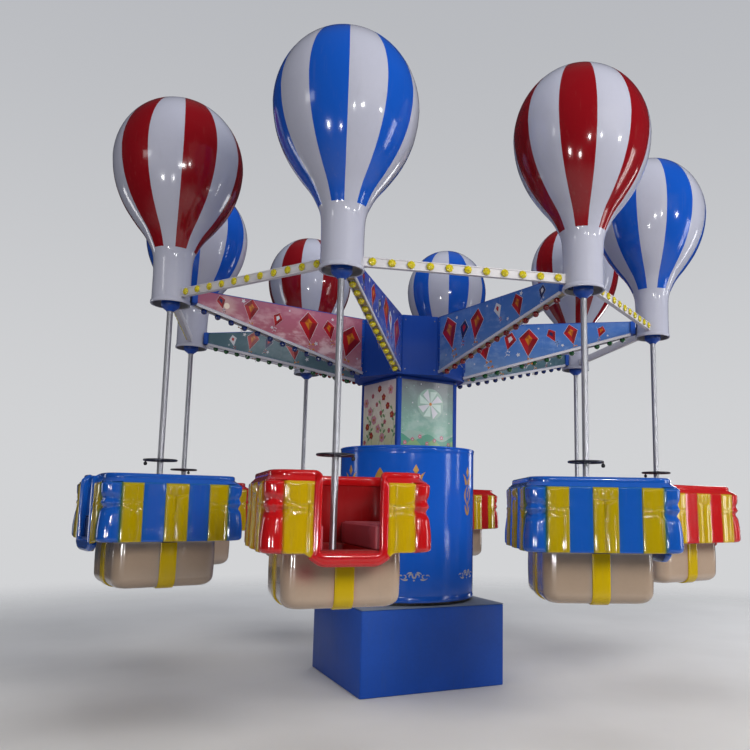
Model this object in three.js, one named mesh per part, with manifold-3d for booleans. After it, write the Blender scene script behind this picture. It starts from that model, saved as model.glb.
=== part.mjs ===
// Samba balloon ride: a lifting, turning centre with eight arms, each carrying a balloon,
// a pole and a spinning gondola. Millimetres, +Z up, origin on the ground under the centre.
import * as THREE from "three";
import { mergeVertices } from "three/addons/utils/BufferGeometryUtils.js";
import Module from "manifold-3d";

const wasm = await Module();
wasm.setup();

// Driving sizes
const gap = 0.3;                    // left between pieces that touch
const over = 10;                    // how far a cut runs past the face that it opens
const bury = 10;                    // how far joined shapes reach into each other
const armCount = 8;
const armStep = (2 * Math.PI) / armCount;
const firstArmAngle = -125.2;       // degrees, arm 1 at rest
const poleCircle = 2500;            // radius of the circle that the poles stand on
// degrees, which way each gondola's doorway looks at rest
const doorwayAngles = [-96, -170, 128, 67, 28, 10, 7, -23];

const base = { side: 1455, height: 760, topPlate: 8 };
const drum = {
  radius: 687, wall: 8, top: 2256, liftOff: 30, footInner: 560, footOuter: 640, footFlange: 8,
  manhole: 530, lidHeight: 20, lidPlate: 12, lidWall: 12, rimOverhang: 16, rimChamfer: 6,
};
const post = { radius: 134, top: 2300, flangeRadius: 220, flangeHeight: 18 };
const mast = { inner: 140, outer: 160, flangeRadius: 240, flangeHeight: 25 };
const slewing = { inner: 180, outer: 232, height: 34 };
const column = { side: 725, wall: 12, bottom: 800 };
const hub = { apothem: 550, bottom: 2965, top: 3560 };
const arm = { halfThickness: 45, rootBottom: 2985, tipBottom: 3430, tipRadius: 2285 };
const lug = {
  blockEnd: 2330, blockHalf: 55, tongueHalf: 28, tongueTop: 3500, bossRadius: 90, bottom: 3391, slotPlay: 2,
};
const lampBar = { depth: 40, bottom: 3430, top: 3525 };
const balloon = {
  lipRadius: 168, lipHeight: 34, neckRadius: 160, neckTop: 3650, wall: 6,
  shoulder: [[168, 3800], [200, 3895], [255, 3995], [345, 4110], [438, 4250], [505, 4400], [540, 4540]],
  radius: 552, centre: 4663, crownHeight: 597,
};
const pole = {
  radius: 25, funnelTop: 80, funnelFoot: 33, funnelLip: 6, funnelHeight: 64, discRadius: 80, discHeight: 20,
};
const handwheel = {
  radius: 130, rim: 9, height: 2037, spokes: 3, spokeHalf: 5, spokeStart: 30,
  collarRadius: 38, collarHalf: 14,
};
const tub = {
  bottom: 1020, floor: 1150, sill: 1400, benchTop: 1560, rim: 1905, wall: 14,
  boxHalf: 395, boxCorner: 95, upperHalf: 530, upperCorner: 110, aisleHalf: 170,
  doorHalf: 190, frameHalf: 239, frameBottom: 1300,
  bearingTop: 1128, bearingHeight: 50, bearingRadius: 88, poleHole: 32,
};
const skirt = { half: 555, corner: 110, bottom: 1385, top: 1845 };

const colours = {
  blue: 0x1d3f9e, darkSteel: 0x3a3c42, steel: 0xc9ccd0, white: 0xe8e8ea, red: 0xb01419,
  gelBlue: 0x1f6fc4, beige: 0xb7a08c,
};
const radians = THREE.MathUtils.degToRad;

// Solids
function solidOf(geometry) {
  const plain = geometry.clone();
  plain.deleteAttribute("normal");
  plain.deleteAttribute("uv");
  const merged = mergeVertices(plain, 1e-3);
  const mesh = new wasm.Mesh({
    numProp: 3,
    vertProperties: merged.attributes.position.array,
    triVerts: new Uint32Array(merged.index.array),
  });
  return new wasm.Manifold(mesh);
}

function geometryOf(solid) {
  const mesh = solid.getMesh();
  const geometry = new THREE.BufferGeometry();
  geometry.setAttribute("position", new THREE.BufferAttribute(mesh.vertProperties, 3));
  geometry.setIndex(new THREE.BufferAttribute(mesh.triVerts, 1));
  const flat = geometry.toNonIndexed();
  flat.computeVertexNormals();
  return flat;
}

function prism(shape, bottom, top, curveSegments = 3) {
  const depth = top - bottom;
  const geometry = new THREE.ExtrudeGeometry(shape, { depth, bevelEnabled: false, curveSegments });
  return geometry.translate(0, 0, bottom);
}

function block(x0, x1, y0, y1, z0, z1) {
  const geometry = new THREE.BoxGeometry(x1 - x0, y1 - y0, z1 - z0);
  return geometry.translate((x0 + x1) / 2, (y0 + y1) / 2, (z0 + z1) / 2);
}

function cylinder(radius, bottom, top, segments = 12) {
  const geometry = new THREE.CylinderGeometry(radius, radius, top - bottom, segments);
  return geometry.rotateX(Math.PI / 2).translate(0, 0, (bottom + top) / 2);
}

// A body of revolution about Z from [radius, height] points
function turned(points, segments = 24) {
  const profile = points.map(([r, z]) => new THREE.Vector2(r, z));
  return new THREE.LatheGeometry(profile, segments).rotateX(Math.PI / 2);
}

function ringProfile(inner, outer, bottom, top) {
  return [[inner, bottom], [outer, bottom], [outer, top], [inner, top], [inner, bottom]];
}

function roundedSquare(half, corner) {
  const shape = new THREE.Shape();
  const flat = half - corner;
  shape.absarc(flat, flat, corner, 0, Math.PI / 2);
  shape.absarc(-flat, flat, corner, Math.PI / 2, Math.PI);
  shape.absarc(-flat, -flat, corner, Math.PI, 1.5 * Math.PI);
  shape.absarc(flat, -flat, corner, 1.5 * Math.PI, 2 * Math.PI);
  return shape;
}

function polygon(points) {
  return new THREE.Shape(points.map(([x, y]) => new THREE.Vector2(x, y)));
}

function octagon(apothem) {
  const circumradius = apothem / Math.cos(armStep / 2);
  return polygon([...Array(armCount).keys()].map((k) => {
    const angle = radians(firstArmAngle) + k * armStep;
    return [circumradius * Math.cos(angle), circumradius * Math.sin(angle)];
  }));
}

const ride = new THREE.Group();

function addMesh(parent, name, geometry, color, roughness = 0.4, metalness = 0) {
  const material = new THREE.MeshStandardMaterial({ color, roughness, metalness });
  const mesh = new THREE.Mesh(geometry, material);
  mesh.name = name;
  parent.add(mesh);
  return mesh;
}

// Base, drum and the post that the mast slides on
const plateBottom = base.height - base.topPlate;
const baseHalf = base.side / 2;
addMesh(ride, "base_housing", block(-baseHalf, baseHalf, -baseHalf, baseHalf, 0, plateBottom - gap),
  colours.blue);
addMesh(ride, "base_top_plate", block(-baseHalf, baseHalf, -baseHalf, baseHalf, plateBottom, base.height),
  colours.blue);

const drumBottom = base.height + drum.liftOff;
const footTop = drumBottom - gap;
const footFlange = drum.radius - drum.wall / 2;
addMesh(ride, "drum_foot", turned([
  [drum.footInner, base.height + gap], [drum.footOuter, base.height + gap],
  [drum.footOuter, footTop - drum.footFlange], [footFlange, footTop - drum.footFlange],
  [footFlange, footTop], [drum.footInner, footTop],
  [drum.footInner, base.height + gap],
], 32), colours.darkSteel);
const lidBottom = drum.top - drum.lidHeight;
const lidPlateTop = lidBottom + drum.lidPlate;
addMesh(ride, "drum_shell", turned(
  ringProfile(drum.radius - drum.wall, drum.radius, drumBottom, lidBottom - gap), 32), colours.blue, 0.25);
const rimOuter = drum.radius + drum.rimOverhang;
const rimInner = drum.radius - drum.lidWall;
addMesh(ride, "drum_lid", turned([
  [drum.manhole, lidBottom], [rimOuter, lidBottom], [rimOuter, drum.top - drum.rimChamfer],
  [rimOuter - drum.rimChamfer, drum.top], [rimInner, drum.top], [rimInner, lidPlateTop],
  [drum.manhole, lidPlateTop], [drum.manhole, lidBottom],
], 32), colours.blue, 0.25);

const flangeTop = base.height + gap + post.flangeHeight;
addMesh(ride, "guide_post", turned([
  [0, base.height + gap], [post.flangeRadius, base.height + gap], [post.flangeRadius, flangeTop],
  [post.radius, flangeTop], [post.radius, post.top], [0, post.top],
], 20), colours.steel, 0.3, 0.9);

const slewingBottom = hub.bottom - gap - slewing.height;
const mastTop = slewingBottom - gap;
const mastFlangeBottom = mastTop - mast.flangeHeight;
addMesh(ride, "mast", turned([
  [mast.inner, flangeTop + gap], [mast.outer, flangeTop + gap], [mast.outer, mastFlangeBottom],
  [mast.flangeRadius, mastFlangeBottom], [mast.flangeRadius, mastTop], [mast.inner, mastTop],
  [mast.inner, flangeTop + gap],
], 20), colours.steel, 0.35, 0.8);

// Turning centre: slewing ring, picture column and hub
addMesh(ride, "slewing_ring", turned(
  ringProfile(slewing.inner, slewing.outer, slewingBottom, hub.bottom - gap), 24),
colours.darkSteel, 0.4, 0.7);

// A square with its corners on the axes
function diamond(side) {
  const reach = side / Math.SQRT2;
  return polygon([[reach, 0], [0, reach], [-reach, 0], [0, -reach]]);
}

const columnShape = diamond(column.side);
columnShape.holes.push(diamond(column.side - 2 * column.wall));
const columnMesh = addMesh(ride, "column_housing", prism(columnShape, column.bottom, hub.bottom - gap),
  colours.blue);
columnMesh.rotation.z = radians(firstArmAngle);
addMesh(ride, "hub", prism(octagon(hub.apothem), hub.bottom, hub.top), colours.blue);

// Arms, lamp bars, balloons and poles
function armGeometry() {
  const root = hub.apothem - arm.halfThickness;
  const side = polygon([
    [root, arm.rootBottom], [arm.tipRadius, arm.tipBottom], [arm.tipRadius, hub.top], [root, hub.top],
  ]);
  const web = new THREE.ExtrudeGeometry(side, { depth: 2 * arm.halfThickness, bevelEnabled: false });
  web.translate(0, 0, -arm.halfThickness).rotateX(Math.PI / 2);
  const endBlock = block(arm.tipRadius - bury, lug.blockEnd, -lug.blockHalf, lug.blockHalf,
    arm.tipBottom, hub.top);
  const tongue = block(lug.blockEnd - bury, poleCircle, -lug.tongueHalf, lug.tongueHalf,
    arm.tipBottom, lug.tongueTop);
  const boss = cylinder(lug.bossRadius, lug.bottom + gap, lug.tongueTop).translate(poleCircle, 0, 0);
  const turnBack = new THREE.Matrix4().makeRotationZ(-radians(firstArmAngle));
  const hubCut = prism(octagon(hub.apothem + gap), hub.bottom - over, hub.top + over);
  return geometryOf(solidOf(web).subtract(solidOf(hubCut.applyMatrix4(turnBack)))
    .add(solidOf(endBlock)).add(solidOf(tongue)).add(solidOf(boss)));
}

// A straight bar between two necks, its ends hollowed to sit against them
function lampBarGeometry() {
  const apothem = poleCircle * Math.cos(armStep / 2);
  const half = poleCircle * Math.sin(armStep / 2);
  let bar = solidOf(block(apothem - lampBar.depth / 2, apothem + lampBar.depth / 2,
    -half + balloon.neckRadius / 2, half - balloon.neckRadius / 2, lampBar.bottom, lampBar.top));
  for (const side of [-1, 1]) {
    const neck = cylinder(balloon.neckRadius + gap, lampBar.bottom - over, lampBar.top + over, 32);
    bar = bar.subtract(solidOf(neck.translate(apothem, side * half, 0)));
  }
  return geometryOf(bar);
}

function balloonGeometry() {
  const crownAngles = [0, 25, 50, 72].map(radians);
  const crown = (shrink) => crownAngles.map((angle) => [
    (balloon.radius - shrink) * Math.cos(angle),
    balloon.centre + (balloon.crownHeight - shrink) * Math.sin(angle),
  ]);
  const apex = balloon.centre + balloon.crownHeight;
  const neckInner = balloon.neckRadius - balloon.wall;
  const skin = turned([
    [balloon.lipRadius, lug.bottom], [balloon.neckRadius, lug.bottom + balloon.lipHeight],
    [balloon.neckRadius, balloon.neckTop], ...balloon.shoulder, ...crown(0), [0, apex],
    [0, apex - balloon.wall], ...crown(balloon.wall).reverse(),
    ...balloon.shoulder.map(([r, z]) => [r - balloon.wall, z]).reverse(),
    [neckInner, balloon.neckTop], [neckInner, lug.bottom], [balloon.lipRadius, lug.bottom],
  ], 16);
  const slotHalf = lug.tongueHalf + lug.slotPlay;
  const slot = block(-balloon.lipRadius - over, -balloon.neckRadius / 2, -slotHalf, slotHalf,
    lug.bottom - over, lug.tongueTop + gap);
  return geometryOf(solidOf(skin).subtract(solidOf(slot)));
}

function poleGeometry() {
  const top = lug.bottom;
  const discTop = tub.bearingTop - gap;
  let solid = solidOf(turned([
    [0, discTop - pole.discHeight], [pole.discRadius, discTop - pole.discHeight], [pole.discRadius, discTop],
    [pole.radius, discTop], [pole.radius, top - pole.funnelHeight],
    [pole.funnelFoot, top - pole.funnelHeight],
    [pole.funnelTop, top - pole.funnelLip], [pole.funnelTop, top], [0, top],
  ], 10));
  const collar = cylinder(handwheel.collarRadius, handwheel.height - handwheel.collarHalf,
    handwheel.height + handwheel.collarHalf);
  solid = solid.add(solidOf(collar));
  const rim = new THREE.TorusGeometry(handwheel.radius, handwheel.rim, 4, 14);
  solid = solid.add(solidOf(rim.translate(0, 0, handwheel.height)));
  for (let k = 0; k < handwheel.spokes; k += 1) {
    const spoke = block(handwheel.spokeStart, handwheel.radius, -handwheel.spokeHalf, handwheel.spokeHalf,
      handwheel.height - handwheel.spokeHalf, handwheel.height + handwheel.spokeHalf);
    solid = solid.add(solidOf(spoke.rotateZ((k * 2 * Math.PI) / handwheel.spokes)));
  }
  return geometryOf(solid);
}

// Gondola: its doorway looks along +X
function tubGeometry() {
  const inner = tub.upperHalf - tub.wall;
  const footwell = tub.boxHalf - tub.wall;
  const box = prism(roundedSquare(tub.boxHalf, tub.boxCorner), tub.bottom, skirt.bottom + bury);
  const upper = prism(roundedSquare(tub.upperHalf, tub.upperCorner), skirt.bottom, tub.rim);
  const frame = block(inner, skirt.half, -tub.frameHalf, tub.frameHalf, tub.frameBottom, tub.rim);
  const rooms = [
    block(-footwell, footwell, -tub.aisleHalf, tub.aisleHalf, tub.floor, tub.sill + over),
    block(-inner, inner, -tub.aisleHalf, tub.aisleHalf, tub.sill, tub.rim + over),
    prism(roundedSquare(inner, tub.upperCorner - tub.wall), tub.benchTop, tub.rim + over),
    block(inner - over, skirt.half + over, -tub.doorHalf, tub.doorHalf, tub.sill, tub.rim + over),
    cylinder(tub.bearingRadius, tub.bearingTop - tub.bearingHeight, tub.bearingTop),
    cylinder(tub.poleHole, tub.bearingTop - over, tub.floor + over),
  ];
  let solid = solidOf(box).add(solidOf(upper)).add(solidOf(frame));
  for (const room of rooms) {
    solid = solid.subtract(solidOf(room));
  }
  return geometryOf(solid);
}

function skirtGeometry() {
  const outer = prism(roundedSquare(skirt.half, skirt.corner), skirt.bottom, skirt.top);
  const inner = prism(roundedSquare(tub.upperHalf + gap, tub.upperCorner), skirt.bottom - over,
    skirt.top + over);
  const doorway = block(tub.upperHalf - over, skirt.half + over, -tub.frameHalf - gap, tub.frameHalf + gap,
    skirt.bottom - over, skirt.top + over);
  return geometryOf(solidOf(outer).subtract(solidOf(inner)).subtract(solidOf(doorway)));
}

const shapes = {
  arm: armGeometry(), bar: lampBarGeometry(), balloon: balloonGeometry(), pole: poleGeometry(),
  tub: tubGeometry(), skirt: skirtGeometry(),
};

for (let n = 1; n <= armCount; n += 1) {
  const angle = radians(firstArmAngle) - (n - 1) * armStep;
  const isOdd = n % 2 === 1;
  const sector = new THREE.Group();
  sector.rotation.z = angle;
  ride.add(sector);
  addMesh(sector, `arm_${n}`, shapes.arm, colours.blue, 0.35);
  const bay = new THREE.Group();
  bay.rotation.z = angle - armStep / 2;
  ride.add(bay);
  addMesh(bay, `lamp_bar_${n}`, shapes.bar, colours.white, 0.5);
  const balloonColour = isOdd ? colours.blue : colours.red;
  const balloonMesh = addMesh(sector, `balloon_${n}`, shapes.balloon, balloonColour, 0.15);
  balloonMesh.position.x = poleCircle;
  const poleMesh = addMesh(sector, `pole_${n}`, shapes.pole, colours.steel, 0.15, 1);
  poleMesh.position.x = poleCircle;

  const gondola = new THREE.Group();
  gondola.position.set(poleCircle * Math.cos(angle), poleCircle * Math.sin(angle), 0);
  gondola.rotation.z = radians(doorwayAngles[n - 1]);
  ride.add(gondola);
  addMesh(gondola, `tub_${n}`, shapes.tub, colours.beige, 0.25);
  addMesh(gondola, `skirt_${n}`, shapes.skirt, isOdd ? colours.red : colours.gelBlue, 0.15);
}

export default ride;
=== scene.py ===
import math

import bmesh
import bpy
from mathutils import Matrix, Vector


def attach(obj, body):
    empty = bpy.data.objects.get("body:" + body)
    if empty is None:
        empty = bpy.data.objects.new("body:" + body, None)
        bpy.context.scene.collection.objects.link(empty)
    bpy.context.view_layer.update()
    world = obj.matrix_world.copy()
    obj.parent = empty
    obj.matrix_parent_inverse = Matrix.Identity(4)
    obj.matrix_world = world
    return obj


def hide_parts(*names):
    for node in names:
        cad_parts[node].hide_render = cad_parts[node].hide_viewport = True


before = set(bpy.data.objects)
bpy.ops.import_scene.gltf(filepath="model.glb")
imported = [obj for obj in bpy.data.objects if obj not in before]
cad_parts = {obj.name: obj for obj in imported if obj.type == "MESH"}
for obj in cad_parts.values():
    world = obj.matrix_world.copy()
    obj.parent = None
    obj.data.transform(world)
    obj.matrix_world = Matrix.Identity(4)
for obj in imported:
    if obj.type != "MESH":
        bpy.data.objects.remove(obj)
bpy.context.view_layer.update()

# camera: stands where the photo was taken, lens about 1.7 m above the floor
photoCamera = {
    "place": (-3.08445, -7.12565, 1.69596), "yaw": -25.468, "pitch": 7.9815, "roll": 0.8129,
    "lens": 35.695, "shift": (-0.0801, 0.034),
}


def setCamera(given):
    yaw, pitch, roll = (math.radians(given[k]) for k in ("yaw", "pitch", "roll"))
    ahead = Vector((-math.sin(yaw) * math.cos(pitch), math.cos(yaw) * math.cos(pitch), math.sin(pitch)))
    level = Vector((math.cos(yaw), math.sin(yaw), 0))
    above = level.cross(ahead)
    right = level * math.cos(roll) + above * math.sin(roll)
    up = above * math.cos(roll) - level * math.sin(roll)
    data = bpy.data.cameras.new("photoCamera")
    data.sensor_width = 36
    data.lens = given["lens"]
    data.shift_x, data.shift_y = given["shift"]
    data.clip_end = 200
    camera = bpy.data.objects.new("photoCamera", data)
    bpy.context.scene.collection.objects.link(camera)
    turn = Matrix((right, up, -ahead)).transposed().to_4x4()
    camera.matrix_world = Matrix.Translation(given["place"]) @ turn
    bpy.context.scene.camera = camera


setCamera(photoCamera)
print("camera set")

# layout shared by the pieces, in metres and degrees
layout = {
    "arms": 8, "firstArm": -125.2, "poleCircle": 2.5,
    "doorways": (-96, -170, 128, 67, 28, 10, 7, -23), "seat": 0.0003,   # left between pieces that touch
}


def armTurn(n):
    return math.radians(layout["firstArm"] - 360 / layout["arms"] * (n - 1))


def aroundCentre(angle):
    return Matrix.Rotation(angle, 4, "Z")


def poleSpot(n, turn=None):
    angle = armTurn(n)
    spot = Vector((math.cos(angle), math.sin(angle), 0)) * layout["poleCircle"]
    return Matrix.Translation(spot) @ aroundCentre(angle if turn is None else turn)


# mesh making
def addFaces(bm, points, faces, slot=0, matrix=None):
    made = [bm.verts.new(matrix @ Vector(p) if matrix else Vector(p)) for p in points]
    out = []
    for corners in faces:
        face = bm.faces.new([made[i] for i in corners])
        face.material_index = slot
        out.append(face)
    return out


def softenEdges(bm, faces, width, steps=2):
    edges = {e for f in faces for e in f.edges}
    keep = [e for e in edges if len(e.link_faces) == 2 and e.calc_face_angle(0) > math.radians(25)]
    bmesh.ops.bevel(bm, geom=keep, offset=width, segments=steps, profile=0.5, affect="EDGES",
                    clamp_overlap=True)


def addPrism(bm, outline, low, high, slot=0, matrix=None, bevel=0, steps=2):
    count = len(outline)
    points = [(x, y, low) for x, y in outline] + [(x, y, high) for x, y in outline]
    faces = [tuple(reversed(range(count))), tuple(range(count, 2 * count))]
    faces += [(i, (i + 1) % count, count + (i + 1) % count, count + i) for i in range(count)]
    made = addFaces(bm, points, faces, slot, matrix)
    if bevel:
        bmesh.ops.recalc_face_normals(bm, faces=made)
        softenEdges(bm, made, bevel, steps)
    return made


def addBlock(bm, low, high, slot=0, matrix=None, bevel=0, steps=2):
    outline = [(low[0], low[1]), (high[0], low[1]), (high[0], high[1]), (low[0], high[1])]
    return addPrism(bm, outline, low[2], high[2], slot, matrix, bevel, steps)


def addLathe(bm, profile, steps, slot=0, matrix=None, closed=False, slotFor=None, ripple=None):
    rings = []
    for r, z in profile:
        if r < 1e-6:
            ring = [bm.verts.new((0, 0, z))]
        else:
            ring = []
            for k in range(steps):
                a = 2 * math.pi * k / steps
                reach = r * (ripple(a, r, z) if ripple else 1)
                ring.append(bm.verts.new((reach * math.cos(a), reach * math.sin(a), z)))
        rings.append(ring)
    made = []
    count = len(rings)
    for i in range(count if closed else count - 1):
        a, b = rings[i], rings[(i + 1) % count]
        for k in range(steps):
            j = (k + 1) % steps
            ring = [a[k % len(a)], a[j % len(a)], b[j % len(b)], b[k % len(b)]]
            corners = [v for m, v in enumerate(ring) if v not in ring[:m]]
            if len(corners) < 3:
                continue
            face = bm.faces.new(corners)
            face.material_index = slotFor(i, k) if slotFor else slot
            made.append(face)
    if matrix:
        bmesh.ops.transform(bm, matrix=matrix, verts=[v for ring in rings for v in ring])
    return made


def addBolt(bm, place, direction, radius=0.011, slot=0):
    turn = Vector(direction).to_track_quat("Z", "Y").to_matrix().to_4x4()
    matrix = Matrix.Translation(place) @ turn
    washer = [(radius * 1.55, -0.001), (radius * 1.55, 0.0015), (0, 0.0015)]
    addLathe(bm, washer, 16, slot, matrix)
    head = [(radius, 0.001), (radius, radius * 0.62), (radius * 0.86, radius * 0.75), (0, radius * 0.75)]
    addLathe(bm, head, 6, slot, matrix)


def finishMesh(bm, name, materials, sharp=35):
    bmesh.ops.recalc_face_normals(bm, faces=bm.faces)
    mesh = bpy.data.meshes.new(name)
    bm.to_mesh(mesh)
    bm.free()
    for material in materials:
        mesh.materials.append(material)
    mesh.shade_smooth()
    mesh.set_sharp_from_angle(angle=math.radians(sharp))
    return mesh


def putPiece(mesh, name, body, matrix=None, instead=(), materials=None):
    data = mesh.copy()
    data.name = name
    if matrix:
        data.transform(matrix)
    for i, material in enumerate(materials or []):
        data.materials[i] = material
    piece = bpy.data.objects.new(name, data)
    bpy.context.scene.collection.objects.link(piece)
    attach(piece, body)
    if instead:
        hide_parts(*instead)
    return piece


# colours are typed as seen on a screen and turned to linear light
def tint(code):
    parts = [int(code[i:i + 2], 16) / 255 for i in (0, 2, 4)]
    linear = [c / 12.92 if c <= 0.04045 else ((c + 0.055) / 1.055) ** 2.4 for c in parts]
    return (*linear, 1)


# shader groups
def newGroup(name, inputs, outputs):
    group = bpy.data.node_groups.new(name, "ShaderNodeTree")
    kinds = {"colour": "NodeSocketColor", "value": "NodeSocketFloat", "vector": "NodeSocketVector"}
    for label, kind, default in inputs:
        socket = group.interface.new_socket(label, in_out="INPUT", socket_type=kinds[kind])
        socket.default_value = default
    for label, kind in outputs:
        group.interface.new_socket(label, in_out="OUTPUT", socket_type=kinds[kind])
    nodes = group.nodes
    return group, nodes.new("NodeGroupInput"), nodes.new("NodeGroupOutput")


def node(tree, kind, values=None, links=None, **settings):
    made = tree.nodes.new(kind)
    for key, value in settings.items():
        setattr(made, key, value)
    for key, value in (values or {}).items():
        made.inputs[key].default_value = value
    for key, source in (links or {}).items():
        tree.links.new(source, made.inputs[key])
    return made


def scaled(tree, source, scale):
    return node(tree, "ShaderNodeMapping", {"Scale": scale}, {"Vector": source}).outputs["Vector"]


def sumUp(tree, operation, first, second, clamp=False):
    made = node(tree, "ShaderNodeMath", operation=operation, use_clamp=clamp)
    for i, given in enumerate((first, second)):
        if isinstance(given, (int, float)):
            made.inputs[i].default_value = given
        else:
            tree.links.new(given, made.inputs[i])
    return made.outputs[0]


def blendColours(tree, factor, first, second):
    made = node(tree, "ShaderNodeMix", data_type="RGBA")
    for i, given in ((0, factor), (6, first), (7, second)):
        if isinstance(given, (int, float, tuple)):
            made.inputs[i].default_value = given
        else:
            tree.links.new(given, made.inputs[i])
    return made.outputs[2]


def remap(tree, source, low, high, toLow=0.0, toHigh=1.0):
    ends = {"From Min": low, "From Max": high, "To Min": toLow, "To Max": toHigh}
    made = node(tree, "ShaderNodeMapRange", ends, {"Value": source}, interpolation_type="SMOOTHSTEP")
    return made.outputs["Result"]


def noiseOn(tree, vector, scale, detail=3.0, rough=0.55):
    made = node(tree, "ShaderNodeTexNoise", {"Scale": scale, "Detail": detail, "Roughness": rough},
                {"Vector": vector})
    return made.outputs[0]


def makeWeatherGroup():
    group, given, out = newGroup("coatWeather", [
        ("Paint", "colour", (0.5, 0.5, 0.5, 1)), ("Dust Colour", "colour", (0.3, 0.28, 0.25, 1)),
        ("Dust", "value", 0.2), ("Streaks", "value", 0.1), ("Patchiness", "value", 0.1),
        ("Gloss", "value", 0.3),
    ], [("Colour", "colour"), ("Roughness", "value"), ("Dirt", "value")])
    place = node(group, "ShaderNodeTexCoord").outputs["Object"]
    normal = node(group, "ShaderNodeNewGeometry").outputs["Normal"]
    facing = node(group, "ShaderNodeSeparateXYZ", links={"Vector": normal}).outputs["Z"]
    patches = noiseOn(group, place, 2.3, 4)
    mottle = noiseOn(group, place, 38, 3)
    upward = remap(group, facing, 0.45, 0.98)
    settled = sumUp(group, "MULTIPLY", upward, remap(group, patches, 0.3, 0.62, 0.45, 1))
    runs = noiseOn(group, scaled(group, place, (34, 34, 1.6)), 1, 4)
    sideways = remap(group, facing, 0.5, 0.1)
    streaks = sumUp(group, "MULTIPLY", remap(group, runs, 0.55, 0.75), sideways)
    specks = remap(group, noiseOn(group, place, 260, 2), 0.72, 0.8)
    dust = sumUp(group, "MULTIPLY", settled, given.outputs["Dust"])
    lines = sumUp(group, "MULTIPLY", streaks, given.outputs["Streaks"])
    grains = sumUp(group, "MULTIPLY", specks, sumUp(group, "MULTIPLY", given.outputs["Dust"], 0.12))
    dirt = sumUp(group, "ADD", sumUp(group, "ADD", dust, lines), grains, clamp=True)
    spread = sumUp(group, "MULTIPLY", sumUp(group, "SUBTRACT", patches, 0.5), given.outputs["Patchiness"])
    fine = sumUp(group, "MULTIPLY", sumUp(group, "SUBTRACT", mottle, 0.5),
                 sumUp(group, "MULTIPLY", given.outputs["Patchiness"], 0.5))
    level = sumUp(group, "ADD", sumUp(group, "ADD", spread, fine), 1)
    tone = node(group, "ShaderNodeHueSaturation", links={"Color": given.outputs["Paint"], "Value": level})
    colour = blendColours(group, dirt, tone.outputs[0], given.outputs["Dust Colour"])
    rough = sumUp(group, "ADD", given.outputs["Gloss"], sumUp(group, "MULTIPLY", dirt, 0.45))
    rough = sumUp(group, "ADD", rough, sumUp(group, "MULTIPLY", sumUp(group, "SUBTRACT", patches, 0.5), 0.16),
                  clamp=True)
    group.links.new(colour, out.inputs["Colour"])
    group.links.new(rough, out.inputs["Roughness"])
    group.links.new(dirt, out.inputs["Dirt"])
    return group


def makeSkinGroup():
    group, given, out = newGroup("mouldedSkin", [
        ("Wave Scale", "value", 6.0), ("Wave", "value", 1.0), ("Peel Scale", "value", 220.0),
        ("Peel", "value", 0.15),
    ], [("Height", "value")])
    place = node(group, "ShaderNodeTexCoord").outputs["Object"]
    wave = node(group, "ShaderNodeTexNoise", {"Detail": 1.5},
                {"Vector": place, "Scale": given.outputs["Wave Scale"]}).outputs[0]
    peel = node(group, "ShaderNodeTexNoise", {"Detail": 1.0},
                {"Vector": place, "Scale": given.outputs["Peel Scale"]}).outputs[0]
    height = sumUp(group, "ADD", sumUp(group, "MULTIPLY", wave, given.outputs["Wave"]),
                   sumUp(group, "MULTIPLY", peel, given.outputs["Peel"]))
    group.links.new(height, out.inputs["Height"])
    return group


def makeBrushGroup():
    group, given, out = newGroup("polishLines", [
        ("Gloss", "value", 0.15), ("Grain", "value", 0.05), ("Depth", "value", 0.1),
    ], [("Roughness", "value"), ("Height", "value")])
    place = node(group, "ShaderNodeTexCoord").outputs["Object"]
    lines = noiseOn(group, scaled(group, place, (700, 700, 120)), 1, 2)
    prints = noiseOn(group, place, 9, 4)
    marks = sumUp(group, "ADD", remap(group, prints, 0.5, 0.75), sumUp(group, "MULTIPLY", lines, 0.4))
    rough = sumUp(group, "MULTIPLY", marks, given.outputs["Grain"])
    group.links.new(sumUp(group, "ADD", given.outputs["Gloss"], rough), out.inputs["Roughness"])
    group.links.new(sumUp(group, "MULTIPLY", lines, given.outputs["Depth"]), out.inputs["Height"])
    return group


coatWeather, mouldedSkin, polishLines = makeWeatherGroup(), makeSkinGroup(), makeBrushGroup()


def placeGroup(tree, group, values):
    made = node(tree, "ShaderNodeGroup", node_tree=group)
    for key, value in values.items():
        made.inputs[key].default_value = value
    return made


def startMaterial(name):
    material = bpy.data.materials.new(name)
    material.use_nodes = True
    shader = material.node_tree.nodes["Principled BSDF"]
    return material, material.node_tree, shader


def addBump(tree, shader, height, strength, distance):
    bump = node(tree, "ShaderNodeBump", {"Strength": strength, "Distance": distance}, {"Height": height})
    tree.links.new(bump.outputs["Normal"], shader.inputs["Normal"])


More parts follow.
